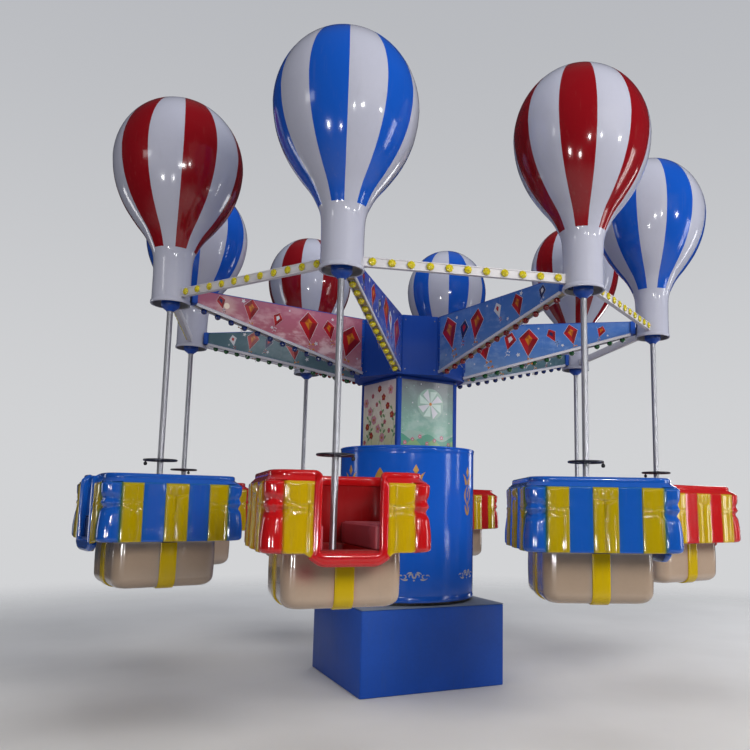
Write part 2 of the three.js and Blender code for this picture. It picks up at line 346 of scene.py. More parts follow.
def coatMaterial(name, paint, gloss=0.3, coat=0.0, dust=0.15, streaks=0.08, patch=0.12, wave=1.0,
                 waveScale=6.0, peel=0.15, peelScale=220.0, depth=0.0015, metal=0.0, mirror=0.4,
                 shade=None, dustColour="8a857c"):
    material, tree, shader = startMaterial(name)
    weather = placeGroup(tree, coatWeather, {
        "Paint": tint(paint), "Dust Colour": tint(dustColour), "Dust": dust, "Streaks": streaks,
        "Patchiness": patch, "Gloss": gloss})
    colour = weather.outputs["Colour"]
    if shade:                                   # neighbouring colour along a band's edge: overspray, on the skirt also painted edge shade and reflection
        mark = node(tree, "ShaderNodeAttribute", attribute_name="oversprayAndShade").outputs["Fac"]
        colour = blendColours(tree, mark, colour, tint(shade))
    tree.links.new(colour, shader.inputs["Base Color"])
    tree.links.new(weather.outputs["Roughness"], shader.inputs["Roughness"])
    shader.inputs["Metallic"].default_value = metal
    shader.inputs["Specular IOR Level"].default_value = mirror
    shader.inputs["Coat Weight"].default_value = coat
    shader.inputs["Coat Roughness"].default_value = 0.06
    skin = placeGroup(tree, mouldedSkin, {
        "Wave Scale": waveScale, "Wave": wave, "Peel Scale": peelScale, "Peel": peel})
    addBump(tree, shader, skin.outputs["Height"], 0.6, depth)
    return material


def metalMaterial(name, colour, gloss, metal=1.0, grain=0.05, depth=0.1):
    material, tree, shader = startMaterial(name)
    lines = placeGroup(tree, polishLines, {"Gloss": gloss, "Grain": grain, "Depth": depth})
    place = node(tree, "ShaderNodeTexCoord").outputs["Object"]
    cloud = noiseOn(tree, place, 5, 4)
    shades = blendColours(tree, remap(tree, cloud, 0.35, 0.7), tint(colour),
                          tuple(c * 0.92 for c in tint(colour)[:3]) + (1,))
    tree.links.new(shades, shader.inputs["Base Color"])
    tree.links.new(lines.outputs["Roughness"], shader.inputs["Roughness"])
    shader.inputs["Metallic"].default_value = metal
    if depth:
        addBump(tree, shader, lines.outputs["Height"], 0.1, 0.0003)
    return material


def lampMaterial(name, colour, deep):
    material, tree, shader = startMaterial(name)
    place = node(tree, "ShaderNodeTexCoord").outputs["Object"]
    swirl = noiseOn(tree, place, 60, 3)
    colours = blendColours(tree, remap(tree, swirl, 0.35, 0.65), tint(colour), tint(deep))
    tree.links.new(colours, shader.inputs["Base Color"])
    shader.inputs["Roughness"].default_value = 0.22
    shader.inputs["Coat Weight"].default_value = 0.5
    shader.inputs["Subsurface Weight"].default_value = 0.15
    shader.inputs["Subsurface Scale"].default_value = 0.01
    tree.links.new(colours, shader.inputs["Emission Color"])
    shader.inputs["Emission Strength"].default_value = 0.03
    return material


# a printed sky: colour runs up the panel, with soft clouds and a pale glow in one place
def skyMaterial(name, low, middle, high, cloud, amount=0.5, glow=None, seed=0.0):
    material, tree, shader = startMaterial(name)
    sheet = node(tree, "ShaderNodeTexCoord").outputs["UV"]
    height = node(tree, "ShaderNodeSeparateXYZ", links={"Vector": sheet}).outputs["Y"]
    ramp = node(tree, "ShaderNodeValToRGB", links={"Fac": height})
    ramp.color_ramp.elements[0].color, ramp.color_ramp.elements[1].color = tint(low), tint(high)
    ramp.color_ramp.elements.new(0.5).color = tint(middle)
    moved = node(tree, "ShaderNodeMapping", {"Location": (seed, seed * 0.7, 0), "Scale": (3.4, 1.5, 1)},
                 {"Vector": sheet}).outputs["Vector"]
    puffs = noiseOn(tree, moved, 2.0, 5, 0.5)
    wisps = noiseOn(tree, scaled(tree, moved, (1, 1.7, 1)), 4.5, 5, 0.6)
    mass = sumUp(tree, "ADD", sumUp(tree, "MULTIPLY", puffs, 0.65), sumUp(tree, "MULTIPLY", wisps, 0.35))
    clouds = sumUp(tree, "MULTIPLY", remap(tree, mass, 0.47, 0.62), remap(tree, height, 0.9, 0.35, 0.25, 1))
    clouds = sumUp(tree, "MULTIPLY", clouds, amount)
    colour = blendColours(tree, clouds, ramp.outputs["Color"], tint(cloud))
    if glow:
        x, y, radius, glowColour = glow
        wide = 3.2                              # the sheet's length over its height
        evened = scaled(tree, sheet, (wide, 1, 1))
        away = node(tree, "ShaderNodeVectorMath", operation="DISTANCE", links={0: evened})
        away.inputs[1].default_value = (x * wide, y, 0)
        disc = remap(tree, away.outputs["Value"], radius * 1.6, radius)
        halo = sumUp(tree, "MULTIPLY", remap(tree, away.outputs["Value"], radius * 6, radius), 0.35)
        colour = blendColours(tree, sumUp(tree, "MAXIMUM", disc, halo), colour, tint(glowColour))
    weather = placeGroup(tree, coatWeather, {
        "Dust Colour": tint("8f8b86"), "Dust": 0.1, "Streaks": 0.03, "Patchiness": 0.12, "Gloss": 0.26})
    tree.links.new(colour, weather.inputs["Paint"])
    tree.links.new(weather.outputs["Colour"], shader.inputs["Base Color"])
    tree.links.new(weather.outputs["Roughness"], shader.inputs["Roughness"])
    shader.inputs["Specular IOR Level"].default_value = 0.3
    shader.inputs["Coat Weight"].default_value = 0.15
    skin = placeGroup(tree, mouldedSkin, {"Wave Scale": 5, "Wave": 1.0, "Peel Scale": 90, "Peel": 0.08})
    addBump(tree, shader, skin.outputs["Height"], 0.5, 0.002)
    return material


coats = {
    "baseBlue": coatMaterial("baseBluePaint", "1a4fb2", 0.45, 0, dust=0.4, streaks=0.16, patch=0.34,
                             peelScale=140, mirror=0.22, dustColour="3f5584"),
    "baseTop": coatMaterial("baseTopPaint", "687a94", 0.55, 0, dust=0.8, streaks=0.1, patch=0.3, mirror=0.25,
                            dustColour="868a92"),
    "drumBlue": coatMaterial("drumBluePaint", "1556be", 0.13, 0, dust=0.2, streaks=0.05, patch=0.12, wave=1.4,
                             waveScale=3.2, peel=0.08, depth=0.0025, mirror=0.38, dustColour="5272ac"),
    "hubBlue": coatMaterial("hubBluePaint", "14409a", 0.45, 0, dust=0.16, streaks=0.06, patch=0.16,
                            mirror=0.16, dustColour="5d6f98"),
    "armTop": coatMaterial("armTopPaint", "1a4aa6", 0.42, 0, dust=0.3, streaks=0.06, patch=0.16, mirror=0.25,
                           dustColour="5d6f98"),
    # near black: the paint of dark parts, and painted shade on the drum's foot ring and the slewing ring
    "darkPaintAndShade": coatMaterial("darkPaintAndShade", "202228", 0.5, 0, dust=0.3, streaks=0.2, patch=0.3),
    "trimWhite": coatMaterial("trimWhitePaint", "cdccd2", 0.36, 0.1, dust=0.2, streaks=0.1, patch=0.1),
    "lampStrip": coatMaterial("lampStripPlastic", "9a8a6c", 0.5, 0, dust=0.2, streaks=0.3, patch=0.25),
    "neckWhite": coatMaterial("balloonWhite", "b0b3c4", 0.13, 0.3, dust=0.2, streaks=0.06, patch=0.08,
                              peelScale=120, depth=0.002, dustColour="8c8a88"),
    "balloonBlue": coatMaterial("balloonBlue", "1450b4", 0.13, 0.2, dust=0.15, streaks=0.05, patch=0.1,
                                peelScale=120, depth=0.002, mirror=0.35),
    "balloonRed": coatMaterial("balloonRed", "7f0d16", 0.13, 0.2, dust=0.15, streaks=0.05, patch=0.12,
                               peelScale=120, depth=0.002, mirror=0.35),
    # inside the neck and the disc closing it: grey fibre, darkened as painted shade in the hollow
    "neckInside": coatMaterial("neckInsideFibreAndShade", "7d7c7e", 0.6, 0, dust=0.1, streaks=0.2, patch=0.4,
                               peelScale=60, peel=1.2, depth=0.004, mirror=0.25),
    "funnelBlue": coatMaterial("funnelBluePaint", "1646a2", 0.35, 0.1, dust=0.2, patch=0.2, mirror=0.3),
    "gelRed": coatMaterial("gelRed", "b61014", 0.16, 0.7, dust=0.1, streaks=0.04, patch=0.1, wave=1.6,
                           waveScale=9, peel=0.12, depth=0.0035, mirror=0.3, shade="a83a14"),
    "gelBlue": coatMaterial("gelBlue", "1250aa", 0.16, 0.7, dust=0.1, streaks=0.04, patch=0.1, wave=1.6,
                            waveScale=9, peel=0.12, depth=0.0035, mirror=0.3, shade="1a5870"),
    "bandByBlue": coatMaterial("gelYellowByBlue", "a48e00", 0.16, 0.7, dust=0.08, streaks=0.06, patch=0.2,
                               wave=1.8, waveScale=11, peel=0.12, depth=0.0035, mirror=0.3, shade="2c6244"),
    "bandByRed": coatMaterial("gelYellowByRed", "ba9a00", 0.16, 0.7, dust=0.08, streaks=0.06, patch=0.2,
                              wave=1.8, waveScale=11, peel=0.12, depth=0.0035, mirror=0.3, shade="a65a10"),
    "ribbon": coatMaterial("gelYellowRibbon", "ba9e00", 0.2, 0.3, dust=0.05, streaks=0.1, patch=0.14,
                           wave=1.4, waveScale=8, depth=0.003, mirror=0.2, dustColour="8a7a40"),
    "beigeByRed": coatMaterial("gelBeigeByRed", "aa9582", 0.2, 0.7, dust=0.1, streaks=0.12, patch=0.14,
                               wave=1.8, waveScale=5, peel=0.1, depth=0.004, mirror=0.3, shade="a8605c"),
    "beigeByBlue": coatMaterial("gelBeigeByBlue", "9e8b79", 0.2, 0.7, dust=0.1, streaks=0.12, patch=0.14,
                                wave=1.8, waveScale=5, peel=0.1, depth=0.004, mirror=0.3, shade="6a7f92"),
    "cabinRed": coatMaterial("cabinRedGel", "981014", 0.42, 0.05, dust=0.2, streaks=0.1, patch=0.16,
                             mirror=0.25),
    "cabinBlue": coatMaterial("cabinBlueGel", "124290", 0.42, 0.05, dust=0.2, streaks=0.1, patch=0.16,
                              mirror=0.25),
    "benchRed": coatMaterial("benchMaroonGel", "b24e58", 0.5, 0.05, dust=0.2, streaks=0.1, patch=0.3,
                             peelScale=90, peel=0.5, dustColour="6a4a48"),
    "benchBlue": coatMaterial("benchNavyGel", "1a3066", 0.5, 0.05, dust=0.2, streaks=0.1, patch=0.3,
                              peelScale=90, peel=0.5),
    "gold": coatMaterial("goldTransfer", "b4863a", 0.35, 0.2, dust=0.1, patch=0.3, metal=0.2),
    "silver": coatMaterial("silverTransfer", "9c9a92", 0.35, 0.2, dust=0.1, patch=0.3, metal=0.2),
    "stainless": metalMaterial("stainlessTube", "bcbdc4", 0.34, 0.85, 0.012, 0),
    "wheelSteel": metalMaterial("wheelSteel", "4e5059", 0.3, 0.7),
    "boltSteel": metalMaterial("boltSteel", "7c7e84", 0.4, 0.7),
    "lampYellow": lampMaterial("lampYellow", "d0c41c", "a8980c"),
    "lampRed": lampMaterial("lampRed", "8c1218", "5c080d"),
    "lampGreen": lampMaterial("lampGreen", "0a5c28", "063c1a"),
    "lampBlue": lampMaterial("lampBlue", "14307c", "0c1c4c"),
}
print("materials made:", len(coats))


# floor and light
def makeFloor():
    material, tree, shader = startMaterial("studioFloor")
    place = node(tree, "ShaderNodeTexCoord").outputs["Object"]
    tone = remap(tree, noiseOn(tree, place, 0.6, 3), 0.3, 0.7, 0.0, 1.0)
    colour = blendColours(tree, tone, tint("d2d1cf"), tint("d9d8d6"))
    tree.links.new(colour, shader.inputs["Base Color"])
    shader.inputs["Roughness"].default_value = 0.75
    far = node(tree, "ShaderNodeVectorMath", operation="LENGTH", links={0: place}).outputs["Value"]
    tree.links.new(remap(tree, far, 11.5, 4.6), shader.inputs["Alpha"])
    bm = bmesh.new()
    reach = 20
    addFaces(bm, [(-reach, -reach, 0), (reach, -reach, 0), (reach, reach, 0), (-reach, reach, 0)],
             [(0, 1, 2, 3)])
    floor = bpy.data.objects.new("studioFloor", finishMesh(bm, "studioFloor", [material]))
    bpy.context.scene.collection.objects.link(floor)


# each light: where it hangs, what it looks at, its width and height, its power, its tint and what it serves
studioLights = {
    "keyFront": ((1.5, -10.5, 6.5), (0, 0, 2.2), (6.0, 4.0), 780, "fffaf2", "shade"),
    "fillRight": ((9.0, -4.5, 5.0), (0, 0, 2.2), (5.0, 4.0), 240, "f2f5ff", "shade"),
    "fillLeft": ((-9.0, -4.0, 5.5), (0, 0, 2.4), (4.0, 3.0), 120, "fff6ec", "shade"),
    "rimBack": ((3.0, 9.5, 6.5), (0, 0, 3.0), (7.0, 3.0), 240, "f2f6ff", "shade"),
    "overhead": ((0, 0, 10.0), (0, 0, 0), (8.0, 8.0), 300, "ffffff", "shade"),
    "windowLeft": ((-9.5, -4.5, 5.4), (0, 0, 3.0), (1.4, 1.0), 20, "ffffff", "shine"),
    "tallFront": ((6.4, -6.4, 2.6), (0, 0, 2.2), (0.3, 3.8), 50, "ffffff", "shine"),
    "tallRight": ((6.9, -5.95, 2.6), (0, 0, 2.2), (0.4, 3.8), 50, "ffffff", "shine"),
    "tallSide": ((8.5, -3.1, 2.6), (0, 0, 2.2), (0.25, 3.8), 40, "ffffff", "shine"),
    "tallFar": ((8.5, 3.4, 2.6), (0, 0, 2.2), (1.3, 3.8), 80, "ffffff", "shine"),
    "tallLeft": ((-8.0, 4.2, 2.6), (0, 0, 2.2), (0.9, 3.6), 45, "ffffff", "shine"),
    "sparkFront": ((-2.6, -9.6, 3.6), (0, 0, 2.4), (0.3, 0.32), 85, "ffffff", "shine"),
    "sparkBeside": ((-0.6, -10.2, 4.0), (0, 0, 2.4), (0.26, 0.28), 60, "ffffff", "shine"),
    "sparkRight": ((3.8, -9.2, 4.4), (0, 0, 2.6), (0.3, 0.36), 60, "ffffff", "shine"),
    "sparkLow": ((-7.5, -7.5, 1.2), (0, 0, 1.5), (0.3, 0.5), 110, "ffffff", "shine"),
    "sparkNear": ((-4.6, -8.6, 1.1), (0, 0, 1.5), (0.25, 0.3), 60, "ffffff", "shine"),
}


def makeLights():
    for name, (place, target, size, power, colour, serves) in studioLights.items():
        data = bpy.data.lights.new(name, "AREA")
        data.shape = "RECTANGLE"
        data.size, data.size_y = size
        data.energy = power
        data.color = tint(colour)[:3]
        light = bpy.data.objects.new(name, data)
        bpy.context.scene.collection.objects.link(light)
        light.location = place
        light.rotation_euler = (Vector(target) - Vector(place)).to_track_quat("-Z", "Y").to_euler()
        light.visible_glossy = serves == "shine"
        light.visible_diffuse = serves == "shade"
    world = bpy.data.worlds.new("studioWorld")
    world.use_nodes = True
    tree = world.node_tree
    way = node(tree, "ShaderNodeTexCoord").outputs["Generated"]
    height = node(tree, "ShaderNodeSeparateXYZ", links={"Vector": way}).outputs["Z"]
    backdrop = blendColours(tree, remap(tree, height, 0.0, 0.7), tint("d2d3d5"), tint("b6b8bd"))
    paths = node(tree, "ShaderNodeLightPath")   # pale to the camera, dim to the pieces
    dim = blendColours(tree, remap(tree, height, -0.2, 0.6), tint("6c6e74"), tint("8c9099"))
    dim = blendColours(tree, paths.outputs["Is Glossy Ray"], dim, tint("2c2d33"))
    colour = blendColours(tree, paths.outputs["Is Camera Ray"], dim, backdrop)
    tree.links.new(colour, tree.nodes["Background"].inputs["Color"])
    tree.nodes["Background"].inputs["Strength"].default_value = 1
    bpy.context.scene.world = world
    bpy.context.scene.view_settings.view_transform = "Standard"


makeFloor()
makeLights()
print("floor and lights made")

# base: four sheets over a frame, a bolted top plate, and a service door at the back
base = {
    "half": 0.7275, "height": 0.76, "plate": 0.008, "inset": 0.004, "sheet": 0.006, "boltCircle": 0.665,
    "door": (0.42, 0.36), "doorLow": 0.2, "doorProud": 0.004,
}


def makeBase():
    bm = bmesh.new()
    top = base["height"] - base["plate"] - layout["seat"]
    half, inset, sheet = base["half"], base["inset"], base["sheet"]
    frameHalf, edge = half - inset, half - sheet - 0.001
    addBlock(bm, (-frameHalf, -frameHalf, 0), (frameHalf, frameHalf, top), bevel=0.008, steps=3)
    for k in range(4):                          # a narrow seam stays open down each corner
        turn = aroundCentre(k * math.pi / 2)
        addBlock(bm, (-edge, -half, inset), (edge, -half + sheet, top - inset), matrix=turn, bevel=0.003,
                 steps=2)
    width, height = base["door"]
    low, face = base["doorLow"], -half - base["doorProud"]
    back = aroundCentre(math.pi)
    addBlock(bm, (-width / 2, face, low), (width / 2, -half + 0.002, low + height), matrix=back, bevel=0.002)
    for side in (-1, 1):
        for z in (low + 0.04, low + height - 0.04):
            addBolt(bm, back @ Vector((side * (width / 2 - 0.03), face, z)), back @ Vector((0, -1, 0)),
                    0.007, 1)
    putPiece(finishMesh(bm, "baseHousing", [coats["baseBlue"], coats["boltSteel"]]), "baseHousing", "base",
             instead=["base_housing"])
    bm = bmesh.new()
    addBlock(bm, (-half, -half, top + layout["seat"]), (half, half, base["height"]), bevel=0.0025, steps=3)
    for k in range(8):
        angle = math.radians(45 * k + 22.5)
        spot = Vector((math.cos(angle), math.sin(angle), 0)) * base["boltCircle"]
        addBolt(bm, spot + Vector((0, 0, base["height"])), (0, 0, 1), 0.008, 1)
    putPiece(finishMesh(bm, "baseTopPlate", [coats["baseTop"], coats["boltSteel"]]), "baseTopPlate", "base",
             instead=["base_top_plate"])


# drum: rolled sheet with hemmed edges, standing on a narrower ring painted near black as painted shade for
# the gap under it
drum = {
    "radius": 0.687, "wall": 0.008, "bottom": 0.79, "lidBottom": 2.236, "top": 2.256, "hem": 0.0025,
    "stiff": 0.03, "seam": 97, "stripHalf": 0.02, "stripProud": 0.003, "footBolts": 0.662,
    "lidBolts": 0.612, "lidSink": 0.0078,
}


def makeDrum():
    r, low, high, hem = drum["radius"], drum["bottom"], drum["lidBottom"] - layout["seat"], drum["hem"]
    inner, stiff, wide = r - drum["wall"], drum["stiff"], drum["stripHalf"]

    def hemRows(z, away):
        return [(r - 0.001, z + away * 0.026), (r + hem * 0.8, z + away * 0.022), (r + hem, z + away * 0.017),
                (r + hem, z + away * 0.006), (r + hem * 0.5, z + away * 0.0005), (r - hem, z)]

    def sheet(angle, radius, z):
        if z < low + stiff or z > high - stiff:  # the sheet stays round beside its hems
            return 1
        lift = (z - low) / (high - low)
        sway = math.sin(3 * angle + 1.3 * lift) * 0.0011 + math.sin(7 * angle - 2.1 * lift) * 0.0006
        return 1 + sway * math.sin(math.pi * lift)

    middle = [(r, low + (high - low) * k / 24) for k in range(1, 24)]
    profile = [(inner, low)] + hemRows(low, 1)[::-1] + middle + hemRows(high, -1) + [(inner, high)]
    bm = bmesh.new()
    addLathe(bm, profile, 144, closed=True, ripple=sheet)
    matrix = aroundCentre(math.radians(drum["seam"]))  # the sheet's closing strip, at the back
    face = r + drum["stripProud"]
    addBlock(bm, (r - 0.004, -wide, low + stiff), (face, wide, high - stiff), matrix=matrix, bevel=0.002)
    for k in range(12):
        z = low + 0.08 + (high - low - 0.16) * k / 11
        addBolt(bm, matrix @ Vector((face, 0, z)), matrix @ Vector((1, 0, 0)), 0.005, 1)
    putPiece(finishMesh(bm, "drumShell", [coats["drumBlue"], coats["boltSteel"]], 45), "drumShell", "base",
             instead=["drum_shell"])
    # foot ring: its near-black paint is painted shade, the dark gap line under the drum's edge
    bm = bmesh.new()
    foot, t = base["height"] + layout["seat"], drum["bottom"] - layout["seat"]
    addLathe(bm, [(0.56, foot), (0.632, foot), (0.64, foot + 0.0037), (0.64, t - 0.0112), (0.676, t - 0.0082),
                  (0.683, t - 0.0062), (0.683, t - 0.0012), (0.68, t), (0.56, t)], 128, closed=True)
    reach = drum["footBolts"]
    for k in range(24):
        angle = math.radians(15 * k)
        addBolt(bm, (reach * math.cos(angle), reach * math.sin(angle), t - 0.0077), (0, 0, -1), 0.006, 1)
    putPiece(finishMesh(bm, "drumFoot", [coats["darkPaintAndShade"], coats["boltSteel"]]), "drumFoot", "base",
             instead=["drum_foot"])
    bm = bmesh.new()
    t, sink, reach = drum["top"], drum["lidSink"], drum["lidBolts"]
    addLathe(bm, [(0.53, t - 0.02), (0.688, t - 0.02), (0.6915, t - 0.018), (0.693, t - 0.013),
                  (0.692, t - 0.006), (0.688, t - 0.0015), (0.684, t), (0.679, t), (0.675, t - 0.002),
                  (0.673, t - 0.0065), (0.668, t - sink), (0.55, t - sink), (0.546, t - 0.004),
                  (0.541, t - 0.0022), (0.535, t - 0.003), (0.53, t - 0.008)], 144, closed=True)
    for k in range(16):
        angle = math.radians(22.5 * k)
        addBolt(bm, (reach * math.cos(angle), reach * math.sin(angle), t - sink), (0, 0, 1), 0.007, 1)
    putPiece(finishMesh(bm, "drumLid", [coats["drumBlue"], coats["boltSteel"]]), "drumLid", "base",
             instead=["drum_lid"])


# gold and silver ornament on the drum: flat strokes and petals wrapped round the cylinder
gold = {
    "lift": 0.0014, "edge": 0.0003, "swell": 1.25, "petalSteps": 12, "curlSteps": 22, "curlEnd": 0.35,
    "motifs": (-166.9, -106.4, -52.3, 8.0, 68.0, 128.0),
    "crests": (-135.6, 38.0),
}


def wrapPoint(azimuth, across, z, proud):
    angle = math.radians(azimuth) + across / drum["radius"]
    reach = drum["radius"] + proud
    return (reach * math.cos(angle), reach * math.sin(angle), z)


def addLeaf(bm, azimuth, spine, widths):
    widths = [gold["swell"] * w for w in widths]
    front, back = [], []
    count = len(spine)
    for i, (across, z) in enumerate(spine):
        a, b = spine[max(i - 1, 0)], spine[min(i + 1, count - 1)]
        along = Vector((b[0] - a[0], b[1] - a[1]))
        along.normalize()
        side = Vector((-along.y, along.x)) * widths[i]
        row = [(across + side.x, z + side.y, gold["edge"]), (across, z, gold["lift"]),
               (across - side.x, z - side.y, gold["edge"])]
        front.append([bm.verts.new(wrapPoint(azimuth, *p)) for p in row])
        back.append([bm.verts.new(wrapPoint(azimuth, p[0], p[1], -0.001)) for p in (row[0], row[2])])
    for i in range(count - 1):
        for k in range(2):
            bm.faces.new((front[i][k], front[i][k + 1], front[i + 1][k + 1], front[i + 1][k]))
        bm.faces.new((back[i][0], back[i + 1][0], back[i + 1][1], back[i][1]))
        bm.faces.new((front[i][0], front[i + 1][0], back[i + 1][0], back[i][0]))
        bm.faces.new((front[i][2], back[i][1], back[i + 1][1], front[i + 1][2]))
    for i in (0, count - 1):
        bm.faces.new((front[i][0], front[i][1], front[i][2], back[i][1], back[i][0]))


def addPetal(bm, azimuth, start, end, width, bend=0.0, blunt=0.5):
    a, b, steps = Vector(start), Vector(end), gold["petalSteps"]
    side = Vector((-(b - a).y, (b - a).x))
    spine, widths = [], []
    for k in range(steps + 1):
        t = k / steps
        point = a.lerp(b, t) + side * bend * math.sin(math.pi * t)
        spine.append((point.x, point.y))
        widths.append(max(width * math.sin(math.pi * t ** blunt) ** 0.8, 0.0006) if 0 < t < 1 else 0.0006)
    addLeaf(bm, azimuth, spine, widths)


def addCurl(bm, azimuth, centre, radius, start, sweep, width):
    spine, widths, steps = [], [], gold["curlSteps"]
    for k in range(steps + 1):
        t = k / steps
        reach = radius * (1 - (1 - gold["curlEnd"]) * t)
        angle = math.radians(start + sweep * t)
        spine.append((centre[0] + reach * math.cos(angle), centre[1] + reach * math.sin(angle)))
        widths.append(max(width * (0.35 + math.sin(math.pi * min(t * 1.1, 1)) * 0.8), 0.0008))
    addLeaf(bm, azimuth, spine, widths)


def addMotif(bm, azimuth):
    for side in (-1, 1):
        addPetal(bm, azimuth, (side * 0.03, 1.89), (side * 0.09, 2.002), 0.016, side * 0.1, 0.42)  # horns
        addPetal(bm, azimuth, (side * 0.006, 1.885), (side * 0.01, 1.7), 0.0095, side * 0.25, 1)  # vase
        addPetal(bm, azimuth, (side * 0.003, 1.598), (side * 0.052, 1.7), 0.013, side * -0.04, 0.6)  # foot
    addLeaf(bm, azimuth, [(0, z) for z in (1.974, 2.0, 2.021, 2.045, 2.074)],
            (0.0006, 0.013, 0.0235, 0.012, 0.0006))  # flame, a diamond
    addPetal(bm, azimuth, (0, 1.875), (0, 1.955), 0.005, 0, 1)
    addPetal(bm, azimuth, (0, 1.765), (0, 1.845), 0.006, 0, 1)
    addPetal(bm, azimuth, (0, 1.645), (0, 1.745), 0.0075, 0, 1)


def addScrolls(bm, azimuth):
    for side in (-1, 1):
        addCurl(bm, azimuth, (side * 0.035, 1.03), 0.026, 200 if side > 0 else -20, -side * 260, 0.0042)
        addCurl(bm, azimuth, (side * 0.092, 1.024), 0.021, -side * 20 + 90, side * 240, 0.0038)
        addPetal(bm, azimuth, (side * 0.02, 1.062), (side * 0.072, 1.046), 0.006, side * 0.18)
        addPetal(bm, azimuth, (side * 0.058, 1.004), (side * 0.13, 1.014), 0.006, side * -0.14)
        addPetal(bm, azimuth, (side * 0.112, 1.038), (side * 0.152, 1.028), 0.005, side * 0.2)
        addPetal(bm, azimuth, (side * 0.002, 1.012), (side * 0.01, 1.062), 0.006, side * -0.2)
    addPetal(bm, azimuth, (-0.01, 0.995), (0.01, 0.995), 0.006)


def addCrest(bm, azimuth):
    addPetal(bm, azimuth, (0, 1.885), (0, 2.04), 0.046)
    for side in (-1, 1):
        addPetal(bm, azimuth, (side * 0.05, 1.87), (side * 0.115, 1.935), 0.024, side * 0.1)
        addPetal(bm, azimuth, (side * 0.06, 1.86), (side * 0.15, 1.872), 0.009, side * -0.16, 0.8)
        addCurl(bm, azimuth, (side * 0.035, 1.835), 0.024, 90, side * -250, 0.004)
    addPetal(bm, azimuth, (0, 1.86), (0, 1.77), 0.01)


def makeTransfers():
    bm = bmesh.new()
    for azimuth in gold["motifs"]:
        addMotif(bm, azimuth)
    for azimuth in gold["crests"]:
        addCrest(bm, azimuth)
    putPiece(finishMesh(bm, "drumOrnament", [coats["gold"]], 50), "drumOrnament", "base")
    bm = bmesh.new()
    for azimuth in gold["motifs"]:
        addScrolls(bm, azimuth)
    putPiece(finishMesh(bm, "drumScrolls", [coats["silver"]], 50), "drumScrolls", "base")


makeBase()
makeDrum()
makeTransfers()
print("base and drum made")

# thin printed shapes: drawn in a panel's own plane as (along, up), one layer above another
prints = {
    "red": coatMaterial("printRed", "a3161f", 0.3, 0.2, dust=0.05, patch=0.14),
    "maroon": coatMaterial("printMaroon", "7c1118", 0.3, 0.2, dust=0.05, patch=0.14),
    "gold": coatMaterial("printGold", "b8741a", 0.3, 0.2, dust=0.05, patch=0.14),
    "amber": coatMaterial("printAmber", "9c4a14", 0.3, 0.2, dust=0.05, patch=0.14),
    "navy": coatMaterial("printNavy", "1d2450", 0.3, 0.2, dust=0.05, patch=0.14),
    "white": coatMaterial("printWhite", "c3c5cd", 0.3, 0.2, dust=0.05, patch=0.1),
    "pink": coatMaterial("printPink", "b9546f", 0.3, 0.2, dust=0.05, patch=0.2),
    "rose": coatMaterial("printRose", "cf8f9c", 0.3, 0.2, dust=0.05, patch=0.2),
    "leaf": coatMaterial("printLeaf", "6f9a62", 0.3, 0.2, dust=0.05, patch=0.25),
    "meadow": coatMaterial("printMeadow", "3a8a70", 0.3, 0.2, dust=0.05, patch=0.3),
    "mist": coatMaterial("printMist", "86a69a", 0.3, 0.2, dust=0.05, patch=0.3),
    "pearl": coatMaterial("printPearl", "b7cdc6", 0.3, 0.2, dust=0.05, patch=0.2),
}
printOrder = list(prints)
skies = {
    "pink": skyMaterial("skyPink", "c0949a", "aa6272", "a05c76", "e2c8cc", 0.85,
                        (0.84, 0.83, 0.04, "ecdccc"), 0.3),
    "day": skyMaterial("skyDay", "7896bc", "4c76b8", "3e68b2", "a4bcd8", 0.4, None, 1.7),
    "violet": skyMaterial("skyViolet", "5666ae", "4254a6", "36469c", "a4b2d6", 0.5, None, 4.1),
    "teal": skyMaterial("skyTeal", "5e7b84", "4d6c78", "40606e", "7c98a0", 0.45, None, 6.5),
    "cream": skyMaterial("skyCream", "d2d4a4", "e4ddc8", "d8c8ca", "f0ebe2", 0.6, None, 2.2),
    "dusk": skyMaterial("skyDusk", "78b096", "74988f", "6c6e78", "a2bcb6", 0.6, None, 8.3),
}


def panelMatrix(origin, along, up):
    a, b = Vector(along).normalized(), Vector(up).normalized()
    out = a.cross(b)
    return Matrix.Translation(origin) @ Matrix((a, b, out)).transposed().to_4x4()


def addShape(bm, outline, colour, layer, matrix):
    low = -0.0006
    addPrism(bm, outline, low, 0.0005 + 0.0007 * layer, printOrder.index(colour) + 1, matrix)


def ringOutline(centre, radius, count=24):
    return [(centre[0] + radius * math.cos(2 * math.pi * k / count),
             centre[1] + radius * math.sin(2 * math.pi * k / count)) for k in range(count)]


def starOutline(centre, radius, turn=90.0):
    corners = []
    for k in range(10):                         # five points, cut in to under half their reach
        reach = radius if k % 2 == 0 else radius * 0.45
        angle = math.radians(turn + 36 * k)
        corners.append((centre[0] + reach * math.cos(angle), centre[1] + reach * math.sin(angle)))
    return corners


